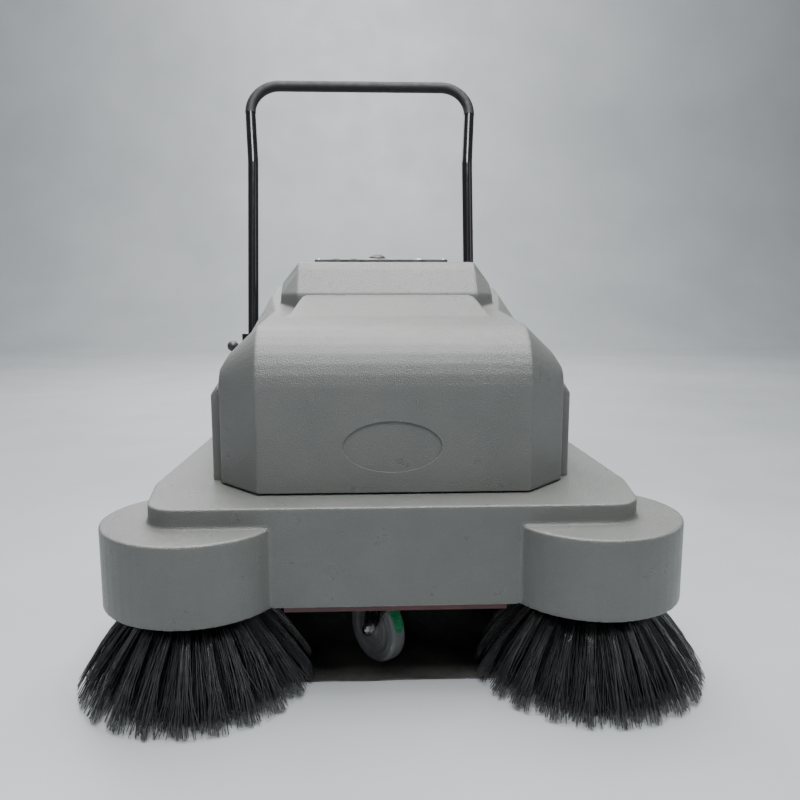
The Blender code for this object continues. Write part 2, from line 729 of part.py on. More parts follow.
def side_brush(side):
    """Lift arm on its pin, gear motor, brush disc and bristles, tipped down at the front."""
    name = side_name(side)
    base = BRUSH_RADIUS * math.sin(BRUSH_TILT) + 0.0008
    turn = Matrix.Rotation(BRUSH_TILT, 4, "X")
    spot = Vector((side * BRUSH_X, BRUSH_Y, base)) + turn @ Vector((0, *ARM_PIVOT))
    arm_axis = axis_empty("arm_axis_" + name, spot, (BRUSH_TILT, 0, 0))
    brush_axis = axis_empty("brush_axis_" + name, (0, -ARM_PIVOT[0], -ARM_PIVOT[1]),
                            parent=arm_axis)
    outline = rounded([(0.032, -0.040, 0.014), (0.032, 0.152, 0), (-0.032, 0.152, 0),
                       (-0.032, -0.040, 0.014)])
    arm = plate("brush_arm_" + name, outline, "XY", 0.163, 0.169, "red_frame", brush_axis)
    join(arm, cylinder("arm_eye", (0, *ARM_PIVOT), 0.016, 0.058, "X", None, brush_axis))
    cut(arm, cylinder("shaft_bore", (0, 0, 0.166), 0.0105, 0.02, "Z", None, brush_axis, 16),
        cylinder("pin_bore", (0, *ARM_PIVOT), 0.0083, 0.08, "X", None, brush_axis, 20))
    side_turned(side, "arm_pin_" + name, [
        (0, 0.0725), (0.013, 0.0725), (0.013, 0.0685), (0.008, 0.0685), (0.008, 0.006),
        (0.018, 0.006), (0.018, 0), (0, 0)],
        (SIDE_PLATE + GAP, spot.y, spot.z), "zinc", steps=14)
    turned("side_motor_" + name, [
        (0, 0.262), (0.029, 0.262), (0.034, 0.257), (0.034, 0.205), (0.031, 0.203),
        (0.031, 0.1695), (0.006, 0.1695), (0.006, 0.146), (0, 0.146)],
        (0, 0, 0), "Z", "motor_paint", brush_axis, 16)
    turned("brush_disc_" + name, [
        (0.0063, 0.1625), (0.022, 0.1625), (0.022, 0.152), (0.095, 0.150), (0.100, 0.146),
        (0.100, 0.139), (0.0063, 0.139)], (0, 0, 0), "Z", "black_plastic", brush_axis, 20)
    turned("side_bristles_" + name, [
        (0.058, 0.1387), (0.099, 0.1387), (0.140, 0.099), (0.178, 0.055), (0.1985, 0.026),
        (BRUSH_RADIUS, 0.012), (0.1985, 0), (0.150, 0), (0.110, 0.055), (0.070, 0.115)],
        (0, 0, 0), "Z", "black_bristle", brush_axis, 24)


# Main brush and its drive

def main_brush():
    """Roller core with shaft ends, bristle sleeve, bearings, pulleys, belt and motor."""
    roller = axis_empty("roller_axis", (0, ROLLER_Y, ROLLER_Z))
    turned("main_brush_core", [
        (0, 0.3155), (0.010, 0.3155), (0.010, 0.287), (0.055, 0.285), (0.055, -0.240),
        (0.012, -0.240), (0.012, -0.272), (0.010, -0.272), (0.010, -0.3155), (0, -0.3155)],
        (0, 0, 0), "X", "black_plastic", roller, 16)
    turned("main_brush_bristles", [
        (0.0553, 0.283), (0.123, 0.283), (ROLLER_RADIUS, 0.281), (ROLLER_RADIUS, -0.235),
        (0.123, -0.237), (0.0553, -0.237)], (0, 0, 0), "X", "black_bristle", roller, 32)
    belt_middle = sum(BELT_X) / 2
    pulley("brush_pulley", 0.050, 0.0123, roller, (belt_middle, 0, 0))
    motor_axis = axis_empty("motor_axis", (0, MOTOR_Y, MOTOR_Z))
    pulley("motor_pulley", 0.025, 0.0063, motor_axis, (belt_middle, 0, 0))
    belt = plate("drive_belt", belt_outline(0.0049), "YZ", belt_middle - 0.006,
                 belt_middle + 0.006, "black_rubber")
    cut(belt, plate("belt_inside", belt_outline(0.0009), "YZ", -0.3, -0.2))
    motor = turned("main_motor", [
        (0, -0.085), (0.040, -0.085), (0.045, -0.090), (0.045, -0.228), (0.040, -0.232),
        (0.006, -0.232), (0.006, -0.263), (0, -0.263)],
        (0, MOTOR_Y, MOTOR_Z), "X", "motor_paint", steps=20)
    join(motor, box("motor_foot", (-0.21, 0.462, FRAME_TOP + GAP), (-0.11, 0.538, 0.332)))
    for side in (-1, 1):
        side_turned(side, "main_bearing_" + side_name(side), [
            (0.0103, 0.015), (0.018, 0.015), (0.020, 0.005), (0.029, 0.004), (0.029, 0),
            (0.0103, 0)], (SIDE_PLATE + GAP, ROLLER_Y, ROLLER_Z), "zinc")


def pulley(name, seat, bore, parent, centre):
    """A flat belt pulley with two flanges."""
    edge = seat + 0.0025
    half = [(bore, 0.008), (edge, 0.008), (edge, 0.0068), (seat, 0.0066)]
    return turned(name, there_and_back(half), centre, "X", "zinc", parent, 20)


def belt_outline(extra):
    """The loop round both pulleys, with the seats' radii grown by extra."""
    large, small = 0.050 + extra, 0.025 + extra
    start = Vector((ROLLER_Y, ROLLER_Z))
    end = Vector((MOTOR_Y, MOTOR_Z))
    run = end - start
    heading = math.atan2(run.y, run.x)
    open_angle = math.acos((large - small) / run.length)
    points = []
    for centre, radius, first, last in (
            (start, large, heading + open_angle, heading + 2 * math.pi - open_angle),
            (end, small, heading - open_angle, heading + open_angle)):
        for step in range(13):
            angle = first + (last - first) * step / 12
            points.append((centre.x + radius * math.cos(angle),
                           centre.y + radius * math.sin(angle)))
    return points


# Hopper, filter and fan

def hopper():
    """The dust bin that slides out at the rear, with its pull bar."""
    axis = axis_empty("hopper_slide", (0, 0.55, 0.26))
    bin_box = box("hopper", (-0.283, -0.002, -0.215), (0.283, 0.292, 0.025), "black_plastic", axis)
    join(bin_box, box("hopper_back", (-0.292, 0.291, -0.210), (0.292, 0.296, 0.045), None, axis))
    for side in (-1, 1):
        join(bin_box, side_box(side, "hopper_runner", (0.281, 0.010, -0.0005),
                               (0.2935, 0.280, 0.0040), None, axis))
    cut(bin_box,
        box("hopper_inside", (-0.280, 0.001, -0.212), (0.280, 0.289, 0.05), None, axis),
        box("hopper_mouth", (-0.280, -0.01, -0.180), (0.280, 0.01, 0.05), None, axis))
    reach, back = 0.07, 0.296 + GAP
    loop = [(-reach, back, -0.04), (-reach, back + 0.035, -0.04),
            (reach, back + 0.035, -0.04), (reach, back, -0.04)]
    tube("hopper_handle", bent(loop, 0.015, 4), 0.006, "black_paint", axis)


def dust_control():
    """Pleated panel filter over the hopper, and a fan with its impeller on top."""
    box("panel_filter", (-0.185, 0.588, FRAME_TOP + GAP), (0.185, 0.752, 0.345), "filter_paper",
        bevel=0.003)
    low, high, y = 0.3453, 0.405, 0.67
    fan = cylinder("fan_housing", (0, y, (low + high) / 2), 0.080, high - low, "Z",
                   "black_plastic", sides=28)
    join(fan, cylinder("fan_motor", (0, y, 0.428), 0.030, 0.056, "Z", sides=20))
    cut(fan,
        cylinder("fan_room", (0, y, 0.3753), 0.075, 0.052, "Z", sides=28),
        cylinder("fan_inlet", (0, y, 0.35), 0.035, 0.03, "Z", sides=16),
        box("fan_outlet", (0.03, y + 0.03, 0.352), (0.06, y + 0.10, 0.398)))
    join(fan, cylinder("fan_shaft", (0, y, 0.383), 0.004, 0.044, "Z", sides=16))
    impeller = axis_empty("impeller_axis", (0, y, 0.375))
    turned("fan_impeller", [
        (0.0043, 0.018), (0.012, 0.018), (0.014, -0.006), (0.066, -0.010), (0.066, -0.013),
        (0.0043, -0.013)], (0, 0, 0), "Z", "black_plastic", impeller, 24)


# Batteries, wheels and controls

def batteries():
    for name, low, high in (("battery_front", (-0.17, 0.15), (0.16, 0.32)),
                            ("battery_rear", (-0.075, 0.335), (0.25, 0.505))):
        case = box(name, (*low, FRAME_TOP + GAP), (*high, 0.520), "battery_case", bevel=0.005)
        for x in (low[0] + 0.04, high[0] - 0.04):
            join(case, cylinder("terminal", (x, low[1] + 0.03, 0.525), 0.009, 0.02, "Z", sides=16))


def rear_wheels():
    """Two wheels on stub axles bolted to the side plates."""
    face = WHEEL_WIDTH / 2
    half = [(0.0123, face - 0.001), (0.030, face - 0.001), (0.034, 0.012), (0.084, 0.012),
            (0.090, face), (0.116, face), (WHEEL_RADIUS, 0.011)]
    for side in (-1, 1):
        name = side_name(side)
        centre = (side * WHEEL_X, WHEEL_Y, WHEEL_RADIUS)
        turned("rear_wheel_" + name, there_and_back(half), centre, "X", "black_rubber", ROOT, 26)
        side_turned(side, "wheel_axle_" + name, [
            (0, 0.0845), (0.018, 0.0845), (0.020, 0.0825), (0.020, 0.0795), (0.012, 0.0795),
            (0.012, 0.006), (0.030, 0.005), (0.030, 0), (0, 0)],
            (SIDE_PLATE + GAP, WHEEL_Y, WHEEL_RADIUS), "zinc")


def controls():
    """The dark panel on the console with its button, key, two rockers and battery meter."""
    low = HUMP_TOP + GAP
    panel = box("control_panel", (-0.158, 0.565, low), (0.138, 0.765, PANEL_TOP), "black_plastic",
                bevel=0.0015)
    bores = [cylinder("button_bore", (*STOP_BUTTON, low), 0.0083, 0.03, "Z", sides=20),
             cylinder("key_bore", (*KEY, low), 0.0064, 0.03, "Z", sides=16)]
    for x in ROCKERS.values():
        bores.append(box("rocker_bore", (x - 0.0083, ROCKER_Y - 0.0130, 0.70),
                         (x + 0.0083, ROCKER_Y + 0.0130, 0.74)))
    cut(panel, *bores)
    push = axis_empty("button_axis", (*STOP_BUTTON, PANEL_TOP))
    turned("stop_button", [
        (0, 0.0125), (0.008, 0.0118), (0.014, 0.0098), (0.0185, 0.0068), (0.020, 0.0036),
        (0.0075, 0.0036), (0.0075, -0.025), (0, -0.025)], (0, 0, 0), "Z", "black_plastic", push)
    key_axis = axis_empty("key_axis", (*KEY, PANEL_TOP))
    key = turned("key_switch", [
        (0, 0.0026), (0.009, 0.0026), (0.010, 0.0018), (0.010, GAP), (0.006, GAP),
        (0.006, -0.022), (0, -0.022)], (0, 0, 0), "Z", "zinc", key_axis, 14)
    join(key, box("key_blade", (-0.001, -0.0085, 0.0020), (0.001, 0.0085, 0.0042), None, key_axis))
    rocker = [(-0.011, -0.0038), (0.011, -0.0038), (0.011, 0.0026), (0, 0.0024), (-0.011, 0.0052)]
    for name, x in ROCKERS.items():
        pivot = axis_empty(name + "_axis", (x, ROCKER_Y, PANEL_TOP - 0.002))
        plate(name, rocker, "YZ", -0.0078, 0.0078, "black_plastic", pivot)
    turned("battery_meter", [
        (0, 0.0028), (0.0200, 0.0028), (0.0215, 0.0020), (0.0215, GAP), (0, GAP)],
        (0.075, 0.725, PANEL_TOP), "Z", "clear_lens", ROOT, 16)
    turned("charge_socket", [
        (0, 0.018), (0.016, 0.018), (0.018, 0.016), (0.018, 0.004), (0.026, 0.003),
        (0.026, GAP), (0, GAP)], (0.06, COVER_REAR, 0.42), "Y", "black_plastic", ROOT, 16)


deck_cover()
front_hood()
rear_cover()
hinge()
main_frame()
push_handle()
lift_lever()
caster()
flaps()
side_brush(-1)
side_brush(1)
main_brush()
hopper()
dust_control()
batteries()
rear_wheels()
controls()
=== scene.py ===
"""Looks for the walk behind sweeper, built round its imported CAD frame.

Metres, in the frame's own coordinates: X to the right, Y from the brushes to the push handle,
Z up from the floor. Lengths named DECK_..., BRUSH_... and so on repeat the CAD's own.
"""
import json
import math
import random

import bmesh
import bpy
import numpy as np
from mathutils import Matrix, Vector


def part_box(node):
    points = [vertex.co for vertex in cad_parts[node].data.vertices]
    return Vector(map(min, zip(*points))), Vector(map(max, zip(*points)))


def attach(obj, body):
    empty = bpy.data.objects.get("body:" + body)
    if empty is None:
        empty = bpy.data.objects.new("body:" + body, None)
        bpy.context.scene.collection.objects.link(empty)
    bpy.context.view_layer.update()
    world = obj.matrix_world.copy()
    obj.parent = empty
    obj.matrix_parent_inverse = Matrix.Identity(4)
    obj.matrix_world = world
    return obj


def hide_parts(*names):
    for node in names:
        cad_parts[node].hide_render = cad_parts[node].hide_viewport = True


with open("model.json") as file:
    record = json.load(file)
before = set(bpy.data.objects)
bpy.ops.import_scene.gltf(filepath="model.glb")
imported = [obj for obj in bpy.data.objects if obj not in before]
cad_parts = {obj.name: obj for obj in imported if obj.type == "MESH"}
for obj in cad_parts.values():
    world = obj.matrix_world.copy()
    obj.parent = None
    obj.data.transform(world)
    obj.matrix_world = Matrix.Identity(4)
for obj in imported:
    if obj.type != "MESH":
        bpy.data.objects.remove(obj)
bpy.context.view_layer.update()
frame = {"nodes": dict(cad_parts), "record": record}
random.seed(7)
rng = np.random.default_rng(7)

# Places and sizes, in metres. ORIGIN_Y is where the deck's front wall stands. A ..._RIM is the
# height of a cover's lower rim, and SMOOTHING counts the passes that soften a cover's edges.
ORIGIN_Y = -0.44797
BRUSH_X = 0.339
BRUSH_Y = ORIGIN_Y + 0.0735
BRUSH_TILT = 0.046
BRUSH_RADIUS = 0.2012
BRUSH_BASE = BRUSH_RADIUS * math.sin(BRUSH_TILT) + 0.0008
ROLLER = Vector((0, ORIGIN_Y + 0.40, 0.128))
CASTER_TURN = math.radians(38)
CASTER_TRAIL = 0.047
CASTER_HUB = Vector((-CASTER_TRAIL * math.sin(CASTER_TURN),
                     ORIGIN_Y + 0.09 + CASTER_TRAIL * math.cos(CASTER_TURN), 0.0648))
CASTER_AXIS = Vector((math.cos(CASTER_TURN), math.sin(CASTER_TURN), 0))
WHEEL = Vector((0.36, ORIGIN_Y + 0.66, 0.125))
HANDLE_X = -0.055
PIVOT = Vector((HANDLE_X, ORIGIN_Y + 0.832, 0.46))
PANEL_TOP = 0.7275
OVAL = Vector((-0.0035, ORIGIN_Y + 0.0728, 0.4083))
OVAL_WIDE = 0.0850
OVAL_TALL = 0.0446
DECK_RIM = 0.157
HOOD_RIM = 0.3288
REAR_RIM = 0.3263
SMOOTHING = 5
SIDE_BRISTLE = 0.00112
ROLLER_BRISTLE = 0.0008


# Node materials

def node(tree, kind, settings=None, **sockets):
    """A shader node; a socket is given a value or another node's output."""
    made = tree.nodes.new("ShaderNode" + kind)
    for key, value in (settings or {}).items():
        setattr(made, key, value)
    for key, value in sockets.items():
        name = key.replace("_", " ")
        socket = made.inputs[int(name[1:])] if name[0] == "i" and name[1:].isdigit() else \
            made.inputs[name]
        if isinstance(value, bpy.types.NodeSocket):
            tree.links.new(value, socket)
        else:
            socket.default_value = value
    return made


def mixed(tree, amount, first, second):
    """Colour going from first to second."""
    blend = node(tree, "Mix", {"data_type": "RGBA"})
    for socket, value in ((blend.inputs[0], amount), (blend.inputs[6], first),
                          (blend.inputs[7], second)):
        if isinstance(value, bpy.types.NodeSocket):
            tree.links.new(value, socket)
        else:
            socket.default_value = value
    return blend.outputs[2]


def spread(tree, value, low, high, to_low=0.0, to_high=1.0):
    """A value taken from one range to another, held at the ends."""
    return node(tree, "MapRange", Value=value, From_Min=low, From_Max=high, To_Min=to_low,
                To_Max=to_high).outputs[0]


def times(tree, first, second):
    made = node(tree, "Math", {"operation": "MULTIPLY"}, i0=first, i1=second)
    return made.outputs[0]


def noise(tree, where, scale, detail=3.0, roughness=0.55):
    return node(tree, "TexNoise", Vector=where, Scale=scale, Detail=detail,
                Roughness=roughness).outputs["Fac"]


def rgb(*values):
    return (*values, 1.0)


def finish_of(name, dark, light, rough=(0.4, 0.55), mottle=22.0, stretch=(1, 1, 1), grain=700.0,
              depth=0.0002, swell=0.0, fleck=None, metallic=0.0, worn=None, dust=0.0,
              coat=0.0, sheen=0.0, specular=0.5):
    """A procedural finish: mottled colour, flecks, worn edges, settled dust, grain and swell."""
    material = bpy.data.materials.new(name)
    material.use_nodes = True
    tree = material.node_tree
    shader = tree.nodes["Principled BSDF"]
    spot = node(tree, "TexCoord").outputs["Object"]
    drawn = node(tree, "Mapping", Vector=spot, Scale=stretch).outputs[0]
    broad = noise(tree, drawn, mottle, 5.0)
    colour = mixed(tree, spread(tree, broad, 0.35, 0.66), rgb(*dark), rgb(*light))
    fine = noise(tree, drawn, grain, 2.0)
    if fleck:
        dots = noise(tree, spot, fleck[1], 2.0, 0.7)
        colour = mixed(tree, spread(tree, dots, 0.55, 0.72, 0.0, fleck[2]), colour, rgb(*fleck[0]))
    surface = node(tree, "NewGeometry")
    if worn:
        ridge = spread(tree, surface.outputs["Pointiness"], 0.515, 0.58)
        scuff = spread(tree, noise(tree, spot, 60.0, 4.0), 0.4, 0.62, 0.15, 1.0)
        colour = mixed(tree, times(tree, ridge, scuff), colour, rgb(*worn))
    if dust:
        upward = node(tree, "SeparateXYZ", Vector=surface.outputs["Normal"]).outputs["Z"]
        settled = times(tree, spread(tree, upward, 0.3, 1.0),
                        spread(tree, noise(tree, spot, 9.0, 6.0), 0.35, 0.7, 0.2, dust))
        colour = mixed(tree, settled, colour, rgb(0.33, 0.32, 0.29))
    tree.links.new(colour, shader.inputs["Base Color"])
    rubbed = noise(tree, drawn, mottle * 2.7, 4.0)
    tree.links.new(spread(tree, rubbed, 0.3, 0.7, *rough), shader.inputs["Roughness"])
    shader.inputs["Metallic"].default_value = metallic
    shader.inputs["Coat Weight"].default_value = coat
    shader.inputs["Coat Roughness"].default_value = 0.12
    shader.inputs["Sheen Weight"].default_value = sheen
    shader.inputs["Specular IOR Level"].default_value = specular
    bump = node(tree, "Bump", Height=fine, Distance=depth, Strength=0.8)
    if swell:
        wave = noise(tree, spot, 5.5, 2.0)
        low = node(tree, "Bump", Height=wave, Distance=swell, Strength=1.0)
        tree.links.new(low.outputs[0], bump.inputs["Normal"])
    tree.links.new(bump.outputs[0], shader.inputs["Normal"])
    return material


FINISHES = {
    "grey_cover": dict(dark=(0.100, 0.106, 0.101), light=(0.113, 0.119, 0.113), rough=(0.27, 0.33),
                       mottle=9.0, grain=520.0, depth=0.0020, swell=0.0012, specular=0.65,
                       fleck=((0.22, 0.23, 0.21), 560.0, 0.22), worn=(0.22, 0.23, 0.21),
                       dust=0.04),
    "black_paint": dict(dark=(0.004, 0.004, 0.005), light=(0.007, 0.007, 0.008),
                        rough=(0.14, 0.22), grain=300.0, depth=0.00004, coat=0.08,
                        specular=0.4),
    "black_plastic": dict(dark=(0.014, 0.014, 0.015), light=(0.026, 0.026, 0.027),
                          rough=(0.36, 0.55), grain=900.0, depth=0.00012, dust=0.12,
                          worn=(0.07, 0.07, 0.07)),
    "soft_grip": dict(dark=(0.006, 0.006, 0.007), light=(0.012, 0.012, 0.012),
                      rough=(0.50, 0.66), grain=1100.0, depth=0.00020, specular=0.35),
    # The frame's dark red is partly its own paint and partly painted shade: it is darkened to the
    # tone the frame strip has in the shadow under the deck's front edge.
    "red_frame": dict(dark=(0.055, 0.004, 0.007), light=(0.095, 0.008, 0.013),
                      rough=(0.28, 0.45), grain=420.0, depth=0.00012, coat=0.2, dust=0.06),
    "zinc": dict(dark=(0.42, 0.44, 0.48), light=(0.66, 0.66, 0.64), rough=(0.16, 0.38),
                 mottle=40.0, stretch=(1, 1, 0.35), grain=260.0, depth=0.00006, metallic=1.0,
                 worn=(0.75, 0.75, 0.74)),
    "grey_tyre": dict(dark=(0.145, 0.150, 0.155), light=(0.205, 0.210, 0.212), rough=(0.44, 0.62),
                      grain=800.0, depth=0.0001, dust=0.10, worn=(0.30, 0.30, 0.29)),
    "flap_rubber": dict(dark=(0.004, 0.004, 0.005), light=(0.009, 0.009, 0.010),
                        rough=(0.50, 0.72), mottle=34.0, grain=620.0, depth=0.00022, dust=0.02),
    "black_rubber": dict(dark=(0.010, 0.010, 0.011), light=(0.022, 0.022, 0.023),
                         rough=(0.55, 0.78), grain=620.0, depth=0.00022, dust=0.30, sheen=0.1,
                         worn=(0.05, 0.05, 0.05)),
    # The bristles' black is their own colour; the lighter patches that the fine mottle gives some
    # bristles are a painted glint.
    "black_bristle": dict(dark=(0.006, 0.006, 0.007), light=(0.020, 0.020, 0.022),
                          rough=(0.10, 0.20), mottle=90.0, grain=900.0, depth=0.00005,
                          coat=0.8, specular=1.0),
    "battery_case": dict(dark=(0.020, 0.021, 0.025), light=(0.034, 0.036, 0.041),
                         rough=(0.42, 0.60), grain=700.0, depth=0.0002, dust=0.4,
                         worn=(0.08, 0.08, 0.09)),
    "motor_paint": dict(dark=(0.022, 0.023, 0.025), light=(0.040, 0.041, 0.044),
                        rough=(0.32, 0.52), metallic=0.25, grain=360.0, depth=0.00018, dust=0.2,
                        worn=(0.2, 0.2, 0.2)),
    "filter_paper": dict(dark=(0.52, 0.48, 0.38), light=(0.66, 0.62, 0.52), rough=(0.8, 0.95),
                         grain=1500.0, depth=0.0003, dust=0.35, sheen=0.2),
    "red_plastic": dict(dark=(0.34, 0.012, 0.012), light=(0.44, 0.022, 0.020),
                        rough=(0.2, 0.34), grain=600.0, depth=0.00004, coat=0.3),
    "clear_lens": dict(dark=(0.50, 0.53, 0.53), light=(0.62, 0.65, 0.65), rough=(0.05, 0.14),
                       grain=200.0, depth=0.00002, coat=0.8),
    "green_patch": dict(dark=(0.014, 0.210, 0.085), light=(0.030, 0.300, 0.130),
                        rough=(0.18, 0.36), mottle=160.0, grain=900.0, depth=0.00005, coat=0.6,
                        fleck=((0.42, 0.46, 0.42), 260.0, 0.25)),
    "meter_green": dict(dark=(0.02, 0.30, 0.05), light=(0.03, 0.40, 0.08), rough=(0.2, 0.3),
                        grain=600.0, depth=0.00002, coat=0.4),
    "hub_grey": dict(dark=(0.10, 0.10, 0.10), light=(0.15, 0.15, 0.15), rough=(0.35, 0.5),
                     grain=700.0, depth=0.0001, dust=0.15, worn=(0.22, 0.22, 0.21)),
    "floor": dict(dark=(0.36, 0.380, 0.395), light=(0.40, 0.420, 0.435), rough=(0.42, 0.60),
                  mottle=1.3, grain=90.0, depth=0.0002),
}
MATERIALS = {name: finish_of(name, **made) for name, made in FINISHES.items()}


# Shapes

def place(name, mesh, material, body=None, gone=()):
    """Links a piece, gives it its finish and lets it ride on a body."""
    made = bpy.data.objects.new(name, mesh)
    bpy.context.scene.collection.objects.link(made)
    mesh.materials.clear()
    mesh.materials.append(MATERIALS[material])
    if body:
        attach(made, body)
    if gone:
        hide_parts(*gone)
    return made


def mesh_from(name, vertices, faces, angle=35, outward=True):
    mesh = bpy.data.meshes.new(name)
    mesh.from_pydata([tuple(v) for v in vertices], [], faces)
    if outward:
        work = bmesh.new()
        work.from_mesh(mesh)
        bmesh.ops.recalc_face_normals(work, faces=work.faces)
        work.to_mesh(mesh)
        work.free()
    mesh.shade_smooth()
    if angle:
        mesh.set_sharp_from_angle(angle=math.radians(angle))
    return mesh


def softened(points, radius, closed=False, steps=3):
    """A line of 2-D points with each corner rounded, by less where there is no room."""
    found = []
    count = len(points)
    for i, point in enumerate(points):
        here = Vector(point)
        if not closed and i in (0, count - 1):
            found.append(tuple(here))
            continue
        before = Vector(points[i - 1]) - here
        after = Vector(points[(i + 1) % count]) - here
        room = 0.45 * min(before.length, after.length)
        half = before.angle(after) / 2 if min(before.length, after.length) > 1e-7 else 1.57
        if half > 1.5:
            found.append(tuple(here))
            continue
        reach = min(radius / math.tan(half), room)
        first = here + before.normalized() * reach
        last = here + after.normalized() * reach
        for step in range(steps + 1):
            t = step / steps
            found.append(tuple((1 - t) ** 2 * first + 2 * t * (1 - t) * here + t * t * last))
    return found


def lathe(name, profile, centre, axis, material, body, gone=(), steps=64, round_by=0.001, wave=None):
    """A turned piece: (radius, height) points along its axis, closed on the axis or as a ring."""
    ring = profile[0][0] > 1e-6
    line = softened(profile, round_by, closed=ring)
    turn = Vector(axis).to_track_quat("Z", "Y").to_matrix().to_4x4()
    seat = Matrix.Translation(centre) @ turn
    vertices, rows = [], []
    for radius, height in line:
        if radius < 1e-6:
            rows.append([len(vertices)] * steps)
            vertices.append(seat @ Vector((0, 0, height)))
            continue
        rows.append(list(range(len(vertices), len(vertices) + steps)))
        for step in range(steps):
            angle = 2 * math.pi * step / steps
            out = radius * (wave(angle, radius, height) if wave else 1.0)
            vertices.append(seat @ Vector((out * math.cos(angle), out * math.sin(angle), height)))
    pairs = list(zip(rows, rows[1:])) + ([(rows[-1], rows[0])] if ring else [])
    faces = []
    for low, high in pairs:
        for step in range(steps):
            after = (step + 1) % steps
            corners = [low[step], low[after], high[after], high[step]]
            corners = list(dict.fromkeys(corners))
            if len(corners) > 2:
                faces.append(corners)
    return place(name, mesh_from(name, vertices, faces), material, body, gone)


def pipe(name, points, radius, material, body, gone=(), sides=5):
    """A round bar through the points, closed at its ends."""
    curve = bpy.data.curves.new(name, "CURVE")
    curve.dimensions = "3D"
    curve.bevel_depth = radius
    curve.bevel_resolution = sides
    curve.use_fill_caps = True
    line = curve.splines.new("POLY")
    line.points.add(len(points) - 1)
    for spot, point in zip(line.points, points):
        spot.co = (*point, 1)
    helper = bpy.data.objects.new(name + "_line", curve)
    bpy.context.scene.collection.objects.link(helper)
    graph = bpy.context.evaluated_depsgraph_get()
    mesh = bpy.data.meshes.new_from_object(helper.evaluated_get(graph))
    bpy.data.objects.remove(helper)
    bpy.data.curves.remove(curve)
    work = bmesh.new()
    work.from_mesh(mesh)
    bmesh.ops.remove_doubles(work, verts=work.verts, dist=0.00001)
    bmesh.ops.recalc_face_normals(work, faces=work.faces)
    work.to_mesh(mesh)
    work.free()
    mesh.shade_smooth()
    mesh.set_sharp_from_angle(angle=math.radians(45))
    return place(name, mesh, material, body, gone)


def rounded_box(name, low, high, radius, material, body, gone=(), segments=3):
    low, high = Vector(low), Vector(high)
    work = bmesh.new()
    size = Matrix.Diagonal((*(high - low), 1.0))
    bmesh.ops.create_cube(work, size=1.0, matrix=Matrix.Translation((low + high) / 2) @ size)
    bmesh.ops.bevel(work, geom=work.edges[:], offset=radius, segments=segments, profile=0.5,
                    affect="EDGES")
    mesh = bpy.data.meshes.new(name)
    work.to_mesh(mesh)
    work.free()
    mesh.shade_smooth()
    mesh.set_sharp_from_angle(angle=math.radians(40))
    return place(name, mesh, material, body, gone)


def hexagon(name, centre, axis, across, height, material, body, gone=()):
    """A hexagon nut or bolt head with chamfered corners and a flat top."""
    turn = Vector(axis).to_track_quat("Z", "Y").to_matrix().to_4x4()
    seat = Matrix.Translation(centre) @ turn
    half = across / 2 / math.cos(math.pi / 6)
    levels = [(0.98, 0.0), (1.0, height * 0.08), (1.0, height * 0.84), (0.86, height)]
    vertices, faces = [], []
    for share, z in levels:
        for step in range(6):
            angle = math.pi / 3 * step
            vertices.append(seat @ Vector((half * share * math.cos(angle),
                                           half * share * math.sin(angle), z)))
    for level in range(len(levels) - 1):
        for step in range(6):
            after = (step + 1) % 6
            faces.append([level * 6 + step, level * 6 + after,
                          level * 6 + 6 + after, level * 6 + 6 + step])
    faces.append(list(range(5, -1, -1)))
    faces.append([len(vertices) - 6 + step for step in range(6)])
    return place(name, mesh_from(name, vertices, faces, angle=20), material, body, gone)


# Moulded covers

def evaluated(mesh, name, kind, **settings):
    """The mesh after one modifier."""
    work = bpy.data.objects.new(name, mesh)
    bpy.context.scene.collection.objects.link(work)
    step = work.modifiers.new(kind.lower(), kind)
    for key, value in settings.items():
        setattr(step, key, value)
    graph = bpy.context.evaluated_depsgraph_get()
    made = bpy.data.meshes.new_from_object(work.evaluated_get(graph))
    bpy.data.objects.remove(work)
    return made


def relaxed(points, edges, weight, passes):
    """Points pulled towards their neighbours' middle, by each one's own weight."""
    count = len(points)
    ends = np.concatenate([edges[:, 0], edges[:, 1]])
    others = np.concatenate([edges[:, 1], edges[:, 0]])
    number = np.maximum(np.bincount(ends, minlength=count), 1)
    for _ in range(passes):
        middle = np.stack([np.bincount(ends, points[others, axis], count) / number
                           for axis in range(3)], axis=1)
        points = points + 0.5 * weight[:, None] * (middle - points)
    return points


def moulded(name, source, body, floor, passes, shape=None, cutter=None, voxel=0.0025):
    """A cover with the soft edges of a rotational moulding; its lower rim stays where it is."""
    mesh = evaluated(frame["nodes"][source].data.copy(), name, "REMESH", mode="VOXEL",
                     voxel_size=voxel)
    points = np.zeros(len(mesh.vertices) * 3)
    mesh.vertices.foreach_get("co", points)
    edges = np.zeros(len(mesh.edges) * 2, np.int32)
    mesh.edges.foreach_get("vertices", edges)
    points = points.reshape(-1, 3)
    edges = edges.reshape(-1, 2)
    free = np.clip((points[:, 2] - floor - 0.004) / 0.012, 0.06, 1.0)
    points = relaxed(points, edges, free, passes)
    if shape is not None:
        points = shape(points)
    mesh.vertices.foreach_set("co", points.ravel())
    mesh.update()
    mesh = evaluated(mesh, name + "_lighter", "DECIMATE", ratio=0.5)
    if cutter is not None:
        mesh = evaluated(mesh, name + "_cut", "BOOLEAN", operation="DIFFERENCE", solver="EXACT",
                         object=cutter)
    mesh.name = name
    mesh.shade_smooth()
    mesh.set_sharp_from_angle(angle=math.radians(50))
    return place(name, mesh, "grey_cover", body, (source,))


def level_oval(points):
    """Fills the CAD's recess, so that the crisp one can be cut from a flat face."""
    away = np.hypot((points[:, 0] - OVAL.x) / 0.094, (points[:, 2] - OVAL.z) / 0.054)
    flat = (away < 1.0) & (points[:, 1] < OVAL.y + 0.003)
    points[:, 1] = np.where(flat, OVAL.y, points[:, 1])
    return points


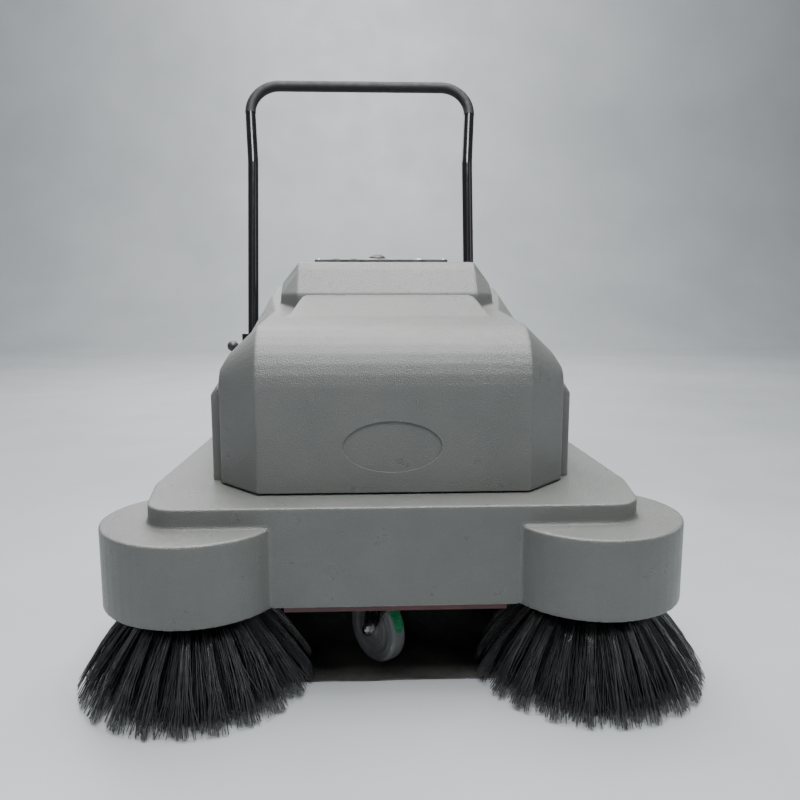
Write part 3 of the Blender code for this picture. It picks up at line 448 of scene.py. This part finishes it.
def oval_cutter():
    """A shallow oval block with slightly sloping sides, 2.6 mm into the hood's front."""
    work = bmesh.new()
    bmesh.ops.create_cone(work, cap_ends=True, segments=96, radius1=1.0, radius2=0.982,
                          depth=0.0068, matrix=Matrix.Rotation(-math.pi / 2, 4, "X"))
    for corner in work.verts:
        corner.co.x *= OVAL_WIDE
        corner.co.z *= OVAL_TALL
    mesh = bpy.data.meshes.new("oval_cutter")
    work.to_mesh(mesh)
    work.free()
    made = bpy.data.objects.new("oval_cutter", mesh)
    made.location = OVAL + Vector((0, -0.0008, 0))
    bpy.context.scene.collection.objects.link(made)
    return made


def covers():
    moulded("cover_deck", "deck_cover", "chassis", DECK_RIM, SMOOTHING)
    cutter = oval_cutter()
    moulded("cover_hood", "front_hood", "hood", HOOD_RIM, SMOOTHING, level_oval, cutter)
    bpy.data.objects.remove(cutter)
    moulded("cover_rear", "rear_cover", "chassis", REAR_RIM, SMOOTHING)


# Bristles

def filaments(name, lines, radius, body, gone, taper=0.75):
    """Closed three-sided bristles along lines given as (bristle, point, xyz)."""
    count, points, _ = lines.shape
    along = np.gradient(lines, axis=1)
    along /= np.linalg.norm(along, axis=2, keepdims=True)
    side = np.cross(along, np.array([0.31, 0.17, 0.93]))
    side /= np.linalg.norm(side, axis=2, keepdims=True)
    other = np.cross(along, side)
    thick = radius * np.linspace(1.0, taper, points)[None, :, None]
    corners = []
    for corner in range(3):
        angle = 2 * math.pi * corner / 3
        corners.append(lines + thick * (math.cos(angle) * side + math.sin(angle) * other))
    vertices = np.stack(corners, axis=2).reshape(-1, 3)
    first = (np.arange(count)[:, None] * points + np.arange(points - 1)[None, :]).ravel() * 3
    faces = []
    for corner in range(3):
        after = (corner + 1) % 3
        faces.append(np.stack([first + corner, first + after, first + 3 + after,
                               first + 3 + corner], axis=1))
    quads = np.concatenate(faces).tolist()
    start = np.arange(count) * points * 3
    end = start + (points - 1) * 3
    caps = np.concatenate([np.stack([start + 2, start + 1, start], 1),
                           np.stack([end, end + 1, end + 2], 1)]).tolist()
    mesh = mesh_from(name, vertices.tolist(), quads + caps, angle=0, outward=False)
    return place(name, mesh, "black_bristle", body, gone)


def side_bristles(side):
    name = "left" if side < 0 else "right"
    tufts, each, points = 66, 26, 11
    inner = 1300
    count = tufts * each + inner
    inward = np.repeat(np.tile([0.22, 0.62, 1.0], tufts // 3), each)
    inward = np.clip(inward + rng.normal(0, 0.13, tufts * each), 0, 1.0)
    inward = np.concatenate([inward, rng.uniform(-0.35, 0.10, inner)])
    heading = np.repeat(np.arange(tufts) * 2 * math.pi / tufts, each)
    heading = np.concatenate([heading, rng.uniform(0, 2 * math.pi, inner)])
    start = heading + rng.normal(0, 0.030, count)
    stop = heading + rng.normal(0, 0.052, count)
    t = np.linspace(0, 1, points)[None, :]
    root = (0.074 + 0.023 * inward)[:, None]
    middle = (0.114 + 0.041 * inward + rng.normal(0, 0.003, count))[:, None]
    tip = np.minimum(0.152 + 0.047 * inward + rng.normal(0, 0.005, count), 0.1995)[:, None]
    out = (1 - t) ** 2 * root + 2 * t * (1 - t) * middle + t * t * tip
    lift = np.abs(rng.normal(0, 0.0055, count))[:, None]
    up = (1 - t) ** 2 * 0.139 + 2 * t * (1 - t) * 0.086 + t * t * (0.0012 + lift)
    crimp = rng.uniform(0, 2 * math.pi, (count, 1)) + t * rng.uniform(24, 32, (count, 1))
    swing = start[:, None] + (stop - start)[:, None] * t ** 1.3 + 0.0030 * np.sin(crimp) * t ** 0.3
    out = out + 0.0007 * np.cos(crimp)
    lines = np.stack([out * np.cos(swing), out * np.sin(swing), up], axis=2)
    tip_down, tip_out = math.sin(BRUSH_TILT), math.cos(BRUSH_TILT)
    y = lines[:, :, 1] * tip_out - lines[:, :, 2] * tip_down + BRUSH_Y
    z = lines[:, :, 1] * tip_down + lines[:, :, 2] * tip_out + BRUSH_BASE
    lines = np.stack([lines[:, :, 0] + side * BRUSH_X, y, z], axis=2)
    filaments("bristles_" + name, lines, SIDE_BRISTLE, "brush_" + name, ("side_bristles_" + name,))


def roller_bristles():
    rows, pitch, each, points = 8, 0.0075, 7, 5
    places = np.arange(-0.2335, 0.2800, pitch)
    x = np.repeat(np.tile(places, rows), each)
    turn = np.repeat(np.repeat(np.arange(rows) * 2 * math.pi / rows, len(places)), each)
    turn = turn + x * 2.6
    count = len(x)
    t = np.linspace(0, 1, points)[None, :]
    lean = rng.normal(0, 0.055, (count, 1)) * t + 0.05 * t ** 2
    angle = turn[:, None] + lean
    out = 0.0545 + (0.0690 + rng.uniform(-0.0025, 0.0, (count, 1))) * t
    spread_x = x[:, None] + rng.normal(0, 0.0030, (count, 1)) * t
    spread_x = np.clip(spread_x, -0.2365, 0.2825)
    lines = np.stack([spread_x, out * np.cos(angle) + ROLLER.y, out * np.sin(angle) + ROLLER.z],
                     axis=2)
    filaments("roller_bristles", lines, ROLLER_BRISTLE, "main_brush", ("main_brush_bristles",))


# Flaps

def skirt(name, node_name, outline, low, high, parts, ripple):
    """A rubber flap: its side outline swept across, with a slow ripple in its free part."""
    rows = np.linspace(low, high, parts + 1)
    vertices, faces = [], []
    count = len(outline)
    ridge = max(y for y, _ in outline)
    for x in rows:
        for y, z in outline:
            loose = max(0.0, min(1.0, (0.14 - z) / 0.08))
            shift = ripple * loose * (math.sin(x * 31.0) + 0.6 * math.sin(x * 57.0 + 1.0))
            lying = z < 0.0035 and y < ridge - 0.05
            vertices.append((x, ORIGIN_Y + y + (shift if not lying else shift * 2.5), z))
    for row in range(parts):
        for point in range(count):
            after = (point + 1) % count
            faces.append([row * count + point, row * count + after,
                          (row + 1) * count + after, (row + 1) * count + point])
    faces.append(list(range(count)))
    faces.append([parts * count + point for point in range(count)])
    return place(name, mesh_from(name, vertices, faces, angle=50), "flap_rubber", "chassis",
                 (node_name,))


def flaps():
    bend, thin, back = 0.045, 0.002, 0.2345
    turns = [math.radians(a) for a in range(0, 91, 6)]
    outer = [(back - bend + bend * math.cos(a), bend - bend * math.sin(a)) for a in turns]
    inner_r = bend - thin
    inner = [(back - bend + inner_r * math.cos(a), bend - inner_r * math.sin(a))
             for a in reversed(turns)]
    run = [(0.19 - step * 0.0143, 0.0) for step in range(1, 10)]
    top_run = [(y, thin) for y, _ in reversed(run)]
    tail = [(0.0495, 0.0), (0.0487, 0.0010), (0.0495, thin)]
    walls = [0.165, 0.13, 0.10, 0.07]
    outline = ([(back, z) for z in walls] + outer + run + tail + top_run + inner
               + [(back - thin, z) for z in reversed(walls)])
    skirt("flap_front", "front_flap", outline, -0.1995, 0.1995, 60, 0.00035)
    rear = [(0.5335, z) for z in np.linspace(0.005, 0.085, 7)]
    rear += [(0.5360, z) for z in np.linspace(0.085, 0.005, 7)]
    skirt("flap_rear", "rear_flap", rear, -0.275, 0.275, 60, 0.0002)
    for side in (-1, 1):
        name = "left" if side < 0 else "right"
        low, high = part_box(name + "_flap")
        rounded_box("flap_" + name, low, high, 0.0009, "black_rubber", "chassis",
                    (name + "_flap",))


# Wheels and caster

def caster():
    ribs = []
    for radius, height in ((0.0450, 0.0136), (0.0470, 0.0148), (0.0490, 0.0138), (0.0510, 0.0148),
                           (0.0530, 0.0140), (0.0555, 0.0148), (0.0590, 0.0140)):
        ribs.append((radius, height))
    half = [(0.0064, 0.0165), (0.0125, 0.0165), (0.0135, 0.0125), (0.0210, 0.0112),
            (0.0240, 0.0122), (0.0275, 0.0112), (0.0300, 0.0122), (0.0335, 0.0110),
            (0.0405, 0.0108)] + ribs + [(0.0618, 0.0105), (0.0624, 0.0050)]
    profile = half + [(radius, -height) for radius, height in reversed(half)]
    lathe("caster_tyre", profile, CASTER_HUB, CASTER_AXIS, "grey_tyre", "caster_roller",
          ("caster_wheel",), steps=96, round_by=0.0012)
    lathe("caster_shaft", [(0, 0.0325), (0.0035, 0.0325), (0.0050, 0.0312), (0.0050, -0.031),
                           (0.0036, -0.0325), (0, -0.0325)],
          CASTER_HUB, CASTER_AXIS, "zinc", "caster_swivel", ("caster_axle",), steps=32,
          round_by=0.0006)
    for side in (-1, 1):
        along = CASTER_AXIS * side
        lathe("caster_washer_" + ("a" if side > 0 else "b"),
              [(0.0054, 0.0), (0.0112, 0.0), (0.0112, 0.0016), (0.0054, 0.0016)],
              CASTER_HUB + along * 0.0218, along, "zinc", "caster_swivel", steps=40,
              round_by=0.0003)
        hexagon("caster_nut_" + ("a" if side > 0 else "b"), CASTER_HUB + along * 0.0236, along,
                0.0170, 0.0065, "zinc", "caster_swivel")
    patch()
    swivel_y = ORIGIN_Y + 0.09
    lathe("swivel_race", [(0.0205, 0.0), (0.0290, 0.0), (0.0310, 0.0035), (0.0310, 0.0075),
                          (0.0270, 0.0120), (0.0205, 0.0120)],
          (0, swivel_y, 0.1412), (0, 0, 1), "zinc", "caster_swivel", steps=72, round_by=0.0018)
    for x in (-0.040, 0.040):
        for y in (-0.030, 0.030):
            hexagon("plate_bolt_%s%s" % ("l" if x < 0 else "r", "f" if y < 0 else "b"),
                    (x, swivel_y + y, 0.1570), (0, 0, -1), 0.0125, 0.0055, "zinc", "chassis")


def patch():
    """A plain foil patch on the caster's tread."""
    vertices, faces = [], []
    facing = Vector((0.52, -0.70, 0.25))
    facing = (facing - CASTER_AXIS * facing.dot(CASTER_AXIS)).normalized()
    across = CASTER_AXIS.cross(facing)
    spans, lanes = 18, 4
    for layer in (0.00015, 0.00035):
        for i in range(spans + 1):
            angle = math.radians(-46 + 54 * i / spans)
            share = max(0.0, (i - spans + 4) / 4)
            width = 0.0205 * (0.35 + 0.65 * math.sqrt(1 - share * share))
            for j in range(lanes + 1):
                along = width * (j / lanes - 0.5)
                out = facing * math.cos(angle) + across * math.sin(angle)
                vertices.append(CASTER_HUB + CASTER_AXIS * along + out * (0.0625 + layer))
    row, level = lanes + 1, (spans + 1) * (lanes + 1)
    for layer in (0, level):
        for i in range(spans):
            for j in range(lanes):
                a = layer + i * row + j
                faces.append([a, a + 1, a + row + 1, a + row])
    edge = ([(i, 0) for i in range(spans)] + [(spans, j) for j in range(lanes)]
            + [(i, lanes) for i in range(spans, 0, -1)] + [(0, j) for j in range(lanes, 0, -1)])
    for (i, j), (k, m) in zip(edge, edge[1:] + edge[:1]):
        a, b = i * row + j, k * row + m
        faces.append([a, b, b + level, a + level])
    place("tread_patch", mesh_from("tread_patch", vertices, faces, angle=40), "green_patch",
          "caster_roller")


def rear_wheels():
    def tread(angle, radius, height):
        if radius < 0.1195:
            return 1.0
        groove = math.sin(angle * 40 + (1 if height > 0 else -1) * abs(height) * 120)
        return 1.0 - (0.012 if groove > 0.55 else 0.0)

    tyre = [(0.0850, 0.0150), (0.0900, 0.0190), (0.1000, 0.0200), (0.1120, 0.0195),
            (0.1200, 0.0165), (0.1242, 0.0125), (0.1246, 0.0060), (0.1246, 0.0022),
            (0.1215, 0.0015)]
    tyre = tyre + [(radius, -height) for radius, height in reversed(tyre)]
    hub = [(0.0124, 0.0190), (0.0260, 0.0190), (0.0290, 0.0150), (0.0330, 0.0080),
           (0.0740, 0.0070), (0.0790, 0.0130), (0.0848, 0.0148)]
    hub = hub + [(radius, -height) for radius, height in reversed(hub)]
    for side in (-1, 1):
        name = "left" if side < 0 else "right"
        centre = (side * WHEEL.x, WHEEL.y, WHEEL.z)
        body = "wheel_" + name
        lathe("tyre_" + name, tyre, centre, (1, 0, 0), "black_rubber", body,
              ("rear_wheel_" + name,), steps=240, round_by=0.0015, wave=tread)
        lathe("hub_" + name, hub, centre, (1, 0, 0), "hub_grey", body, steps=72, round_by=0.002)
        for spoke in range(6):
            angle = math.pi / 3 * spoke
            reach = Vector((0, math.cos(angle), math.sin(angle)))
            middle = Vector(centre)
            pipe("spoke_%s_%d" % (name, spoke), [middle + reach * 0.031, middle + reach * 0.080],
                 0.0092, "hub_grey", body, sides=3)
        out = Vector((side, 0, 0))
        inner = Vector((side * 0.3003, WHEEL.y, WHEEL.z))
        lathe("axle_" + name, [(0, 0.0800), (0.0119, 0.0800), (0.0119, 0.0060), (0.0290, 0.0050),
                               (0.0290, 0.0), (0, 0.0)], inner, out, "zinc", "chassis",
              ("wheel_axle_" + name,), steps=48)
        lathe("axle_cap_" + name, [(0.0, 0.0868), (0.010, 0.0862), (0.0175, 0.0832),
                                   (0.0190, 0.0798), (0.0, 0.0798)], inner, out, "black_plastic",
              "chassis", steps=48, round_by=0.0012)
        for bolt in range(4):
            angle = math.pi / 4 + math.pi / 2 * bolt
            spot = inner + Vector((side * 0.0052, 0.0225 * math.cos(angle),
                                   0.0225 * math.sin(angle)))
            hexagon("axle_bolt_%s_%d" % (name, bolt), spot, out, 0.0085, 0.004, "zinc", "chassis")


# Push handle

def arc_path(points, radius, steps=10):
    """Straight runs with rounded bends, as 3-D points."""
    path = [Vector(points[0])]
    for before, here, after in zip(points, points[1:], points[2:]):
        here = Vector(here)
        back, ahead = Vector(before) - here, Vector(after) - here
        half = back.angle(ahead) / 2
        reach = min(radius / math.tan(half), 0.08)
        size = reach * math.tan(half)
        back.normalize()
        ahead.normalize()
        centre = here + (back + ahead).normalized() * (size / math.sin(half))
        start, end = here + back * reach - centre, here + ahead * reach - centre
        for step in range(steps + 1):
            path.append(centre + start.slerp(end, step / steps).normalized() * size)
    path.append(Vector(points[-1]))
    return path


def handle():
    kink = Vector((0, ORIGIN_Y + 0.937, 0.985))
    top = Vector((0, ORIGIN_Y + 1.010, 1.190))
    up = (Vector((0, kink.y, kink.z)) - Vector((0, PIVOT.y, PIVOT.z))).normalized()
    foot = Vector((0, PIVOT.y, PIVOT.z)) - up * 0.0135
    half = [foot + Vector((0.281, 0, 0)), kink + Vector((0.281, 0, 0)),
            top + Vector((0.296, 0, 0))]
    corners = half + [Vector((-p.x, p.y, p.z)) for p in reversed(half)]
    corners = [p + Vector((HANDLE_X, 0, 0)) for p in corners]
    path = arc_path(corners, 0.075, 14)
    pipe("handle_tube", path, 0.01345, "black_paint", "handle", ("push_handle",), sides=8)
    first = [i for i, p in enumerate(path) if p.z > 1.0]
    grip = path[first[0]:first[-1] + 1]
    grip = [p for i, p in enumerate(grip) if i == 0 or (p - grip[i - 1]).length > 1e-5]
    pipe("handle_grip", grip, 0.01405, "soft_grip", "handle", sides=8)
    for side in (-1, 1):
        name = "left" if side < 0 else "right"
        x = HANDLE_X + side * 0.281
        out = Vector((side, 0, 0))
        base = Vector((x + side * 0.0212, PIVOT.y, PIVOT.z))

        def lobes(angle, radius, height):
            return 1.0 - (0.085 * (1 - math.cos(6 * angle)) / 2 if radius > 0.017 else 0.0)

        lathe("clamp_knob_" + name, [
            (0, 0.0268), (0.0090, 0.0272), (0.0150, 0.0272), (0.0205, 0.0240), (0.0218, 0.0190),
            (0.0215, 0.0120), (0.0185, 0.0085), (0.0120, 0.0030), (0.0118, 0.0), (0.0050, 0.0),
            (0.0050, -0.0452), (0, -0.0452)], base, out, "black_plastic", "knob_" + name,
            ("handle_knob_" + name,), steps=96, round_by=0.0022, wave=lobes)
        low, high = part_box("handle_bracket_" + name)
        for z in (low.z + 0.014, high.z - 0.014):
            for inset in (0.012, 0.030):
                outer = low.x + inset if side < 0 else high.x - inset
                hexagon("bracket_bolt_%s_%d_%d" % (name, z * 1000, inset * 1000),
                        (outer, ORIGIN_Y + 0.8043, z), (0, 1, 0), 0.010, 0.0045, "zinc", "chassis")


# Controls and levers

def controls():
    low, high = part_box("control_panel")
    spot = Vector((-0.018, ORIGIN_Y + 0.65, PANEL_TOP))
    lathe("stop_dome", [(0, 0.0124), (0.0070, 0.0119), (0.0130, 0.0102), (0.0175, 0.0076),
                        (0.0198, 0.0048), (0.0192, 0.0037), (0.0075, 0.0037), (0.0075, -0.0248),
                        (0, -0.0248)], spot, (0, 0, 1), "black_plastic", "button",
          ("stop_button",), steps=72, round_by=0.0016)
    lathe("stop_collar", [(0.0206, 0.0002), (0.0250, 0.0002), (0.0262, 0.0014), (0.0225, 0.0026),
                          (0.0206, 0.0026)], spot, (0, 0, 1), "zinc", "chassis", steps=72,
          round_by=0.0005)
    meter = Vector((0.075, ORIGIN_Y + 0.725, PANEL_TOP))
    lathe("meter_lens", [(0, 0.0024), (0.0150, 0.0024), (0.0178, 0.0020), (0.0178, 0.0003),
                         (0, 0.0003)], meter, (0, 0, 1), "clear_lens", "chassis",
          ("battery_meter",), steps=64, round_by=0.0006)
    lathe("meter_bezel", [(0.0181, 0.0003), (0.0215, 0.0003), (0.0213, 0.0020), (0.0190, 0.0028),
                          (0.0181, 0.0022)], meter, (0, 0, 1), "black_plastic", "chassis",
          steps=64, round_by=0.0005)
    for bar in range(5):
        x = meter.x - 0.010 + bar * 0.005
        tall = 0.004 + bar * 0.0012
        colour = "red_plastic" if bar == 0 else "meter_green"
        rounded_box("meter_bar_%d" % bar, (x - 0.0017, meter.y - 0.004, meter.z + 0.0023),
                    (x + 0.0017, meter.y - 0.004 + tall, meter.z + 0.0027), 0.00015, colour,
                    "chassis")
    key = Vector((0.080, ORIGIN_Y + 0.655, PANEL_TOP))
    lathe("key_collar", [(0.0106, 0.0002), (0.0140, 0.0002), (0.0138, 0.0016), (0.0106, 0.0022)],
          key, (0, 0, 1), "zinc", "chassis", steps=48, round_by=0.0005)
    for index, x in enumerate((-0.115, -0.072)):
        y = ORIGIN_Y + 0.70
        for side in (-1, 1):
            rounded_box("switch_edge_%d_%s" % (index, "l" if side < 0 else "r"),
                        (x + side * 0.0097 - 0.0011, y - 0.0148, PANEL_TOP + 0.0001),
                        (x + side * 0.0097 + 0.0011, y + 0.0148, PANEL_TOP + 0.0017), 0.0006,
                        "black_plastic", "chassis")
            rounded_box("switch_end_%d_%s" % (index, "f" if side < 0 else "b"),
                        (x - 0.0085, y + side * 0.0142 - 0.0009, PANEL_TOP + 0.0001),
                        (x + 0.0085, y + side * 0.0142 + 0.0009, PANEL_TOP + 0.0017), 0.0005,
                        "black_plastic", "chassis")
    for x in (low.x + 0.009, high.x - 0.009):
        for y in (low.y + 0.009, high.y - 0.009):
            lathe("panel_screw_%d_%d" % (x * 1000, y * 1000),
                  [(0, 0.0016), (0.0022, 0.0015), (0.0040, 0.0003), (0, 0.0003)],
                  (x, y, PANEL_TOP), (0, 0, 1), "zinc", "chassis", steps=24, round_by=0.0003)
    socket = Vector((0.06, ORIGIN_Y + 0.80, 0.42))
    lathe("socket_ring", [(0.0, 0.0060), (0.0125, 0.0060), (0.0132, 0.0170), (0.0160, 0.0176),
                          (0.0178, 0.0160), (0.0180, 0.0045), (0.0255, 0.0034), (0.0258, 0.0004),
                          (0, 0.0004)], socket, (0, 1, 0), "black_plastic", "chassis",
          ("charge_socket",), steps=64, round_by=0.0008)
    for side in (-1, 1):
        lathe("socket_pin_%s" % ("l" if side < 0 else "r"),
              [(0, 0.0125), (0.0018, 0.0120), (0.0024, 0.0110), (0.0024, 0.0062), (0, 0.0062)],
              socket + Vector((side * 0.006, 0, 0)), (0, 1, 0), "zinc", "chassis", steps=20,
              round_by=0.0004)


def lever():
    knob = Vector((-0.343, ORIGIN_Y + 0.56, 0.536))
    heading = (knob - Vector((-0.2665, ORIGIN_Y + 0.56, 0.450))).normalized()
    ball = [(0.0123 * math.sin(math.radians(a)), 0.0123 * math.cos(math.radians(a)))
            for a in range(0, 150, 8)]
    lathe("lever_ball", ball + [(0.0056, -0.0112), (0, -0.0112)], knob, heading, "black_plastic",
          "lever", ("lever_knob",), steps=56, round_by=0.0004)


# Drive, motors and other round pieces under the covers

def machinery():
    for side in (-1, 1):
        name = "left" if side < 0 else "right"
        turn = Matrix.Rotation(BRUSH_TILT, 3, "X")
        base = Vector((side * BRUSH_X, BRUSH_Y, BRUSH_BASE))
        up = turn @ Vector((0, 0, 1))
        ribs = [(0, 0.2612), (0.0270, 0.2612), (0.0335, 0.2565)]
        for step in range(9):
            height = 0.2520 - step * 0.0055
            ribs += [(0.0338, height), (0.0318, height - 0.0012), (0.0318, height - 0.0030),
                     (0.0338, height - 0.0042)]
        ribs += [(0.0310, 0.2020), (0.0308, 0.1697), (0.0059, 0.1697), (0.0059, 0.1462),
                 (0, 0.1462)]
        lathe("gear_motor_" + name, ribs, base, up, "motor_paint", "arm_" + name,
              ("side_motor_" + name,), steps=56, round_by=0.0008)
        lathe("disc_" + name, [(0.0064, 0.1624), (0.0215, 0.1624), (0.0220, 0.1535),
                               (0.0400, 0.1512), (0.0950, 0.1498), (0.0998, 0.1460),
                               (0.0998, 0.1392), (0.0064, 0.1392)], base, up, "black_plastic",
              "brush_" + name, ("brush_disc_" + name,), steps=72, round_by=0.0014)
        out = Vector((side, 0, 0))
        low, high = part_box("arm_pin_" + name)
        pin = Vector((side * 0.3003, (low.y + high.y) / 2, (low.z + high.z) / 2))
        lathe("lift_pin_" + name, [(0, 0.0722), (0.0115, 0.0722), (0.0128, 0.0708),
                                   (0.0128, 0.0686), (0.0079, 0.0686), (0.0079, 0.0060),
                                   (0.0178, 0.0058), (0.0178, 0), (0, 0)], pin, out, "zinc",
              "chassis", ("arm_pin_" + name,), steps=48, round_by=0.0006)
        bearing = Vector((side * 0.3003, ROLLER.y, ROLLER.z))
        lathe("bearing_" + name, [(0.0104, 0.0148), (0.0170, 0.0148), (0.0182, 0.0135),
                                  (0.0200, 0.0052), (0.0288, 0.0040), (0.0290, 0), (0.0104, 0)],
              bearing, out, "zinc", "chassis", ("main_bearing_" + name,), steps=56,
              round_by=0.0008)
        for bolt in range(4):
            angle = math.pi / 4 + math.pi / 2 * bolt
            spot = bearing + Vector((side * 0.0042, 0.0243 * math.cos(angle),
                                     0.0243 * math.sin(angle)))
            hexagon("bearing_bolt_%s_%d" % (name, bolt), spot, out, 0.0070, 0.0035, "zinc",
                    "chassis")
    motor = Vector((0, ORIGIN_Y + 0.50, 0.36))
    fins = [(0, -0.0860), (0.0380, -0.0860), (0.0440, -0.0905)]
    for step in range(15):
        x = -0.0960 - step * 0.0084
        fins += [(0.0448, x), (0.0428, x - 0.0016), (0.0428, x - 0.0046), (0.0448, x - 0.0062)]
    fins += [(0.0440, -0.2280), (0.0395, -0.2318), (0.0059, -0.2318), (0.0059, -0.2628),
             (0, -0.2628)]
    lathe("drive_motor", fins, motor, (1, 0, 0), "motor_paint", "chassis", ("main_motor",),
          steps=64, round_by=0.0008)
    rounded_box("motor_seat", (-0.21, ORIGIN_Y + 0.462, 0.3045), (-0.11, ORIGIN_Y + 0.538, 0.3280),
                0.002, "motor_paint", "chassis")
    pleats()


def pleats():
    """The panel filter as a frame round folded paper."""
    low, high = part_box("panel_filter")
    count, wall = 46, 0.006
    start, run = low.x + wall, high.x - low.x - 2 * wall
    bottom, top = low.z + 0.003, high.z - 0.0035
    outline = []
    for fold in range(count * 2 + 1):
        x = start + run * fold / (count * 2)
        outline.append((x, bottom if fold % 2 else top))
    outline += [(x, z - 0.0009) for x, z in reversed(outline)]
    vertices = [(x, y, z) for y in (low.y + wall, high.y - wall) for x, z in outline]
    size = len(outline)
    faces = [list(range(size)), list(range(size, 2 * size))]
    faces += [[i, (i + 1) % size, size + (i + 1) % size, size + i] for i in range(size)]
    mesh = mesh_from("filter_folds", vertices, faces, angle=30)
    place("filter_folds", mesh, "filter_paper", "chassis", ("panel_filter",))
    for index, (a, b) in enumerate((
            ((low.x, low.y), (high.x, low.y + wall)), ((low.x, high.y - wall), (high.x, high.y)),
            ((low.x, low.y + wall), (low.x + wall, high.y - wall)),
            ((high.x - wall, low.y + wall), (high.x, high.y - wall)))):
        rounded_box("filter_rim_%d" % index, (a[0], a[1], low.z), (b[0], b[1], high.z), 0.001,
                    "black_plastic", "chassis")


def batteries():
    for name in ("battery_front", "battery_rear"):
        low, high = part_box(name)
        top = high.z - 0.015
        rounded_box(name + "_case", low, (high.x, high.y, top - 0.028), 0.004, "battery_case",
                    "chassis", (name,))
        rounded_box(name + "_lid", (low.x + 0.001, low.y + 0.001, top - 0.0275),
                    (high.x - 0.001, high.y - 0.001, top), 0.004, "battery_case", "chassis")
        for side, colour in ((0, "black_plastic"), (1, "red_plastic")):
            x = (low.x + 0.04, high.x - 0.04)[side]
            lathe("%s_post_%d" % (name, side), [(0, 0.0145), (0.0070, 0.0145), (0.0088, 0.0130),
                                                (0.0088, 0.0002), (0, 0.0002)],
                  (x, low.y + 0.03, top), (0, 0, 1), "zinc", "chassis", steps=32)
            lathe("%s_ring_%d" % (name, side), [(0.0092, 0.0002), (0.0150, 0.0002),
                                                (0.0150, 0.0030), (0.0092, 0.0030)],
                  (x, low.y + 0.03, top), (0, 0, 1), colour, "chassis", steps=32)
        for cell in range(6):
            x = low.x + (high.x - low.x) * (cell + 0.5) / 6
            lathe("%s_cap_%d" % (name, cell), [(0, 0.0030), (0.0090, 0.0028), (0.0110, 0.0004),
                                               (0, 0.0004)],
                  (x, high.y - 0.045, top), (0, 0, 1), "black_plastic", "chassis", steps=28,
                  round_by=0.0005)


# Stage

def stage():
    profile = [(-9.0, 0.0), (5.5, 0.0)]
    for step in range(1, 13):
        angle = math.pi / 2 * step / 12
        profile.append((5.5 + 2.5 * math.sin(angle), 2.5 - 2.5 * math.cos(angle)))
    profile.append((8.0, 9.0))
    vertices = [(x, y, z) for x in (-14.0, 14.0) for y, z in profile]
    count = len(profile)
    faces = [[i, i + 1, count + i + 1, count + i] for i in range(count - 1)]
    mesh = mesh_from("studio_floor", vertices, faces, angle=60, outward=False)
    place("studio_floor", mesh, "floor")
    world = bpy.data.worlds.new("soft_room")
    bpy.context.scene.world = world
    world.use_nodes = True
    world.node_tree.nodes["Background"].inputs["Color"].default_value = (0.90, 0.95, 1.0, 1.0)
    world.node_tree.nodes["Background"].inputs["Strength"].default_value = 0.27
    wash = bpy.data.lights.new("wall_wash", "AREA")
    wash.energy = 430.0
    wash.size = 4.0
    lamp_spot = Vector((0.0, 3.6, 4.2))
    washer = bpy.data.objects.new("wall_wash", wash)
    washer.location = lamp_spot
    washer.rotation_euler = (Vector((0, 8.0, 1.2)) - lamp_spot).to_track_quat("-Z", "Y").to_euler()
    bpy.context.scene.collection.objects.link(washer)
    target = Vector((0, -0.05, 0.45))
    for name, spot, size, power in (
            ("top_softbox", (0.1, 0.30, 3.3), 2.4, 190.0),
            ("crown_softbox", (0.0, -1.62, 3.0), 1.1, 104.0),
            ("front_softbox", (-1.3, -3.6, 2.3), 1.6, 6.0),
            ("right_softbox", (3.0, -1.2, 1.9), 1.4, 14.0),
            ("back_softbox", (-1.4, 3.0, 2.8), 2.2, 60.0)):
        lamp = bpy.data.lights.new(name, "AREA")
        lamp.energy = power
        lamp.size = size
        made = bpy.data.objects.new(name, lamp)
        made.location = spot
        made.rotation_euler = (target - Vector(spot)).to_track_quat("-Z", "Y").to_euler()
        bpy.context.scene.collection.objects.link(made)


def camera():
    lens = bpy.data.cameras.new("view")
    lens.lens = 36.0
    lens.sensor_width = 36.0
    made = bpy.data.objects.new("view", lens)
    made.location = (-0.051, ORIGIN_Y - 1.2434, 0.6977)
    made.rotation_euler = (math.pi / 2 - 0.1576, 0.0, -0.0456)
    bpy.context.scene.collection.objects.link(made)
    bpy.context.scene.camera = made


camera()
covers()
side_bristles(-1)
side_bristles(1)
roller_bristles()
flaps()
caster()
rear_wheels()
handle()
controls()
lever()
machinery()
batteries()
stage()

for entry in frame["record"]["subparts"]:
    made = frame["nodes"][entry["node"]]
    made.data.materials.clear()
    made.data.materials.append(MATERIALS[entry["material_slot"]])
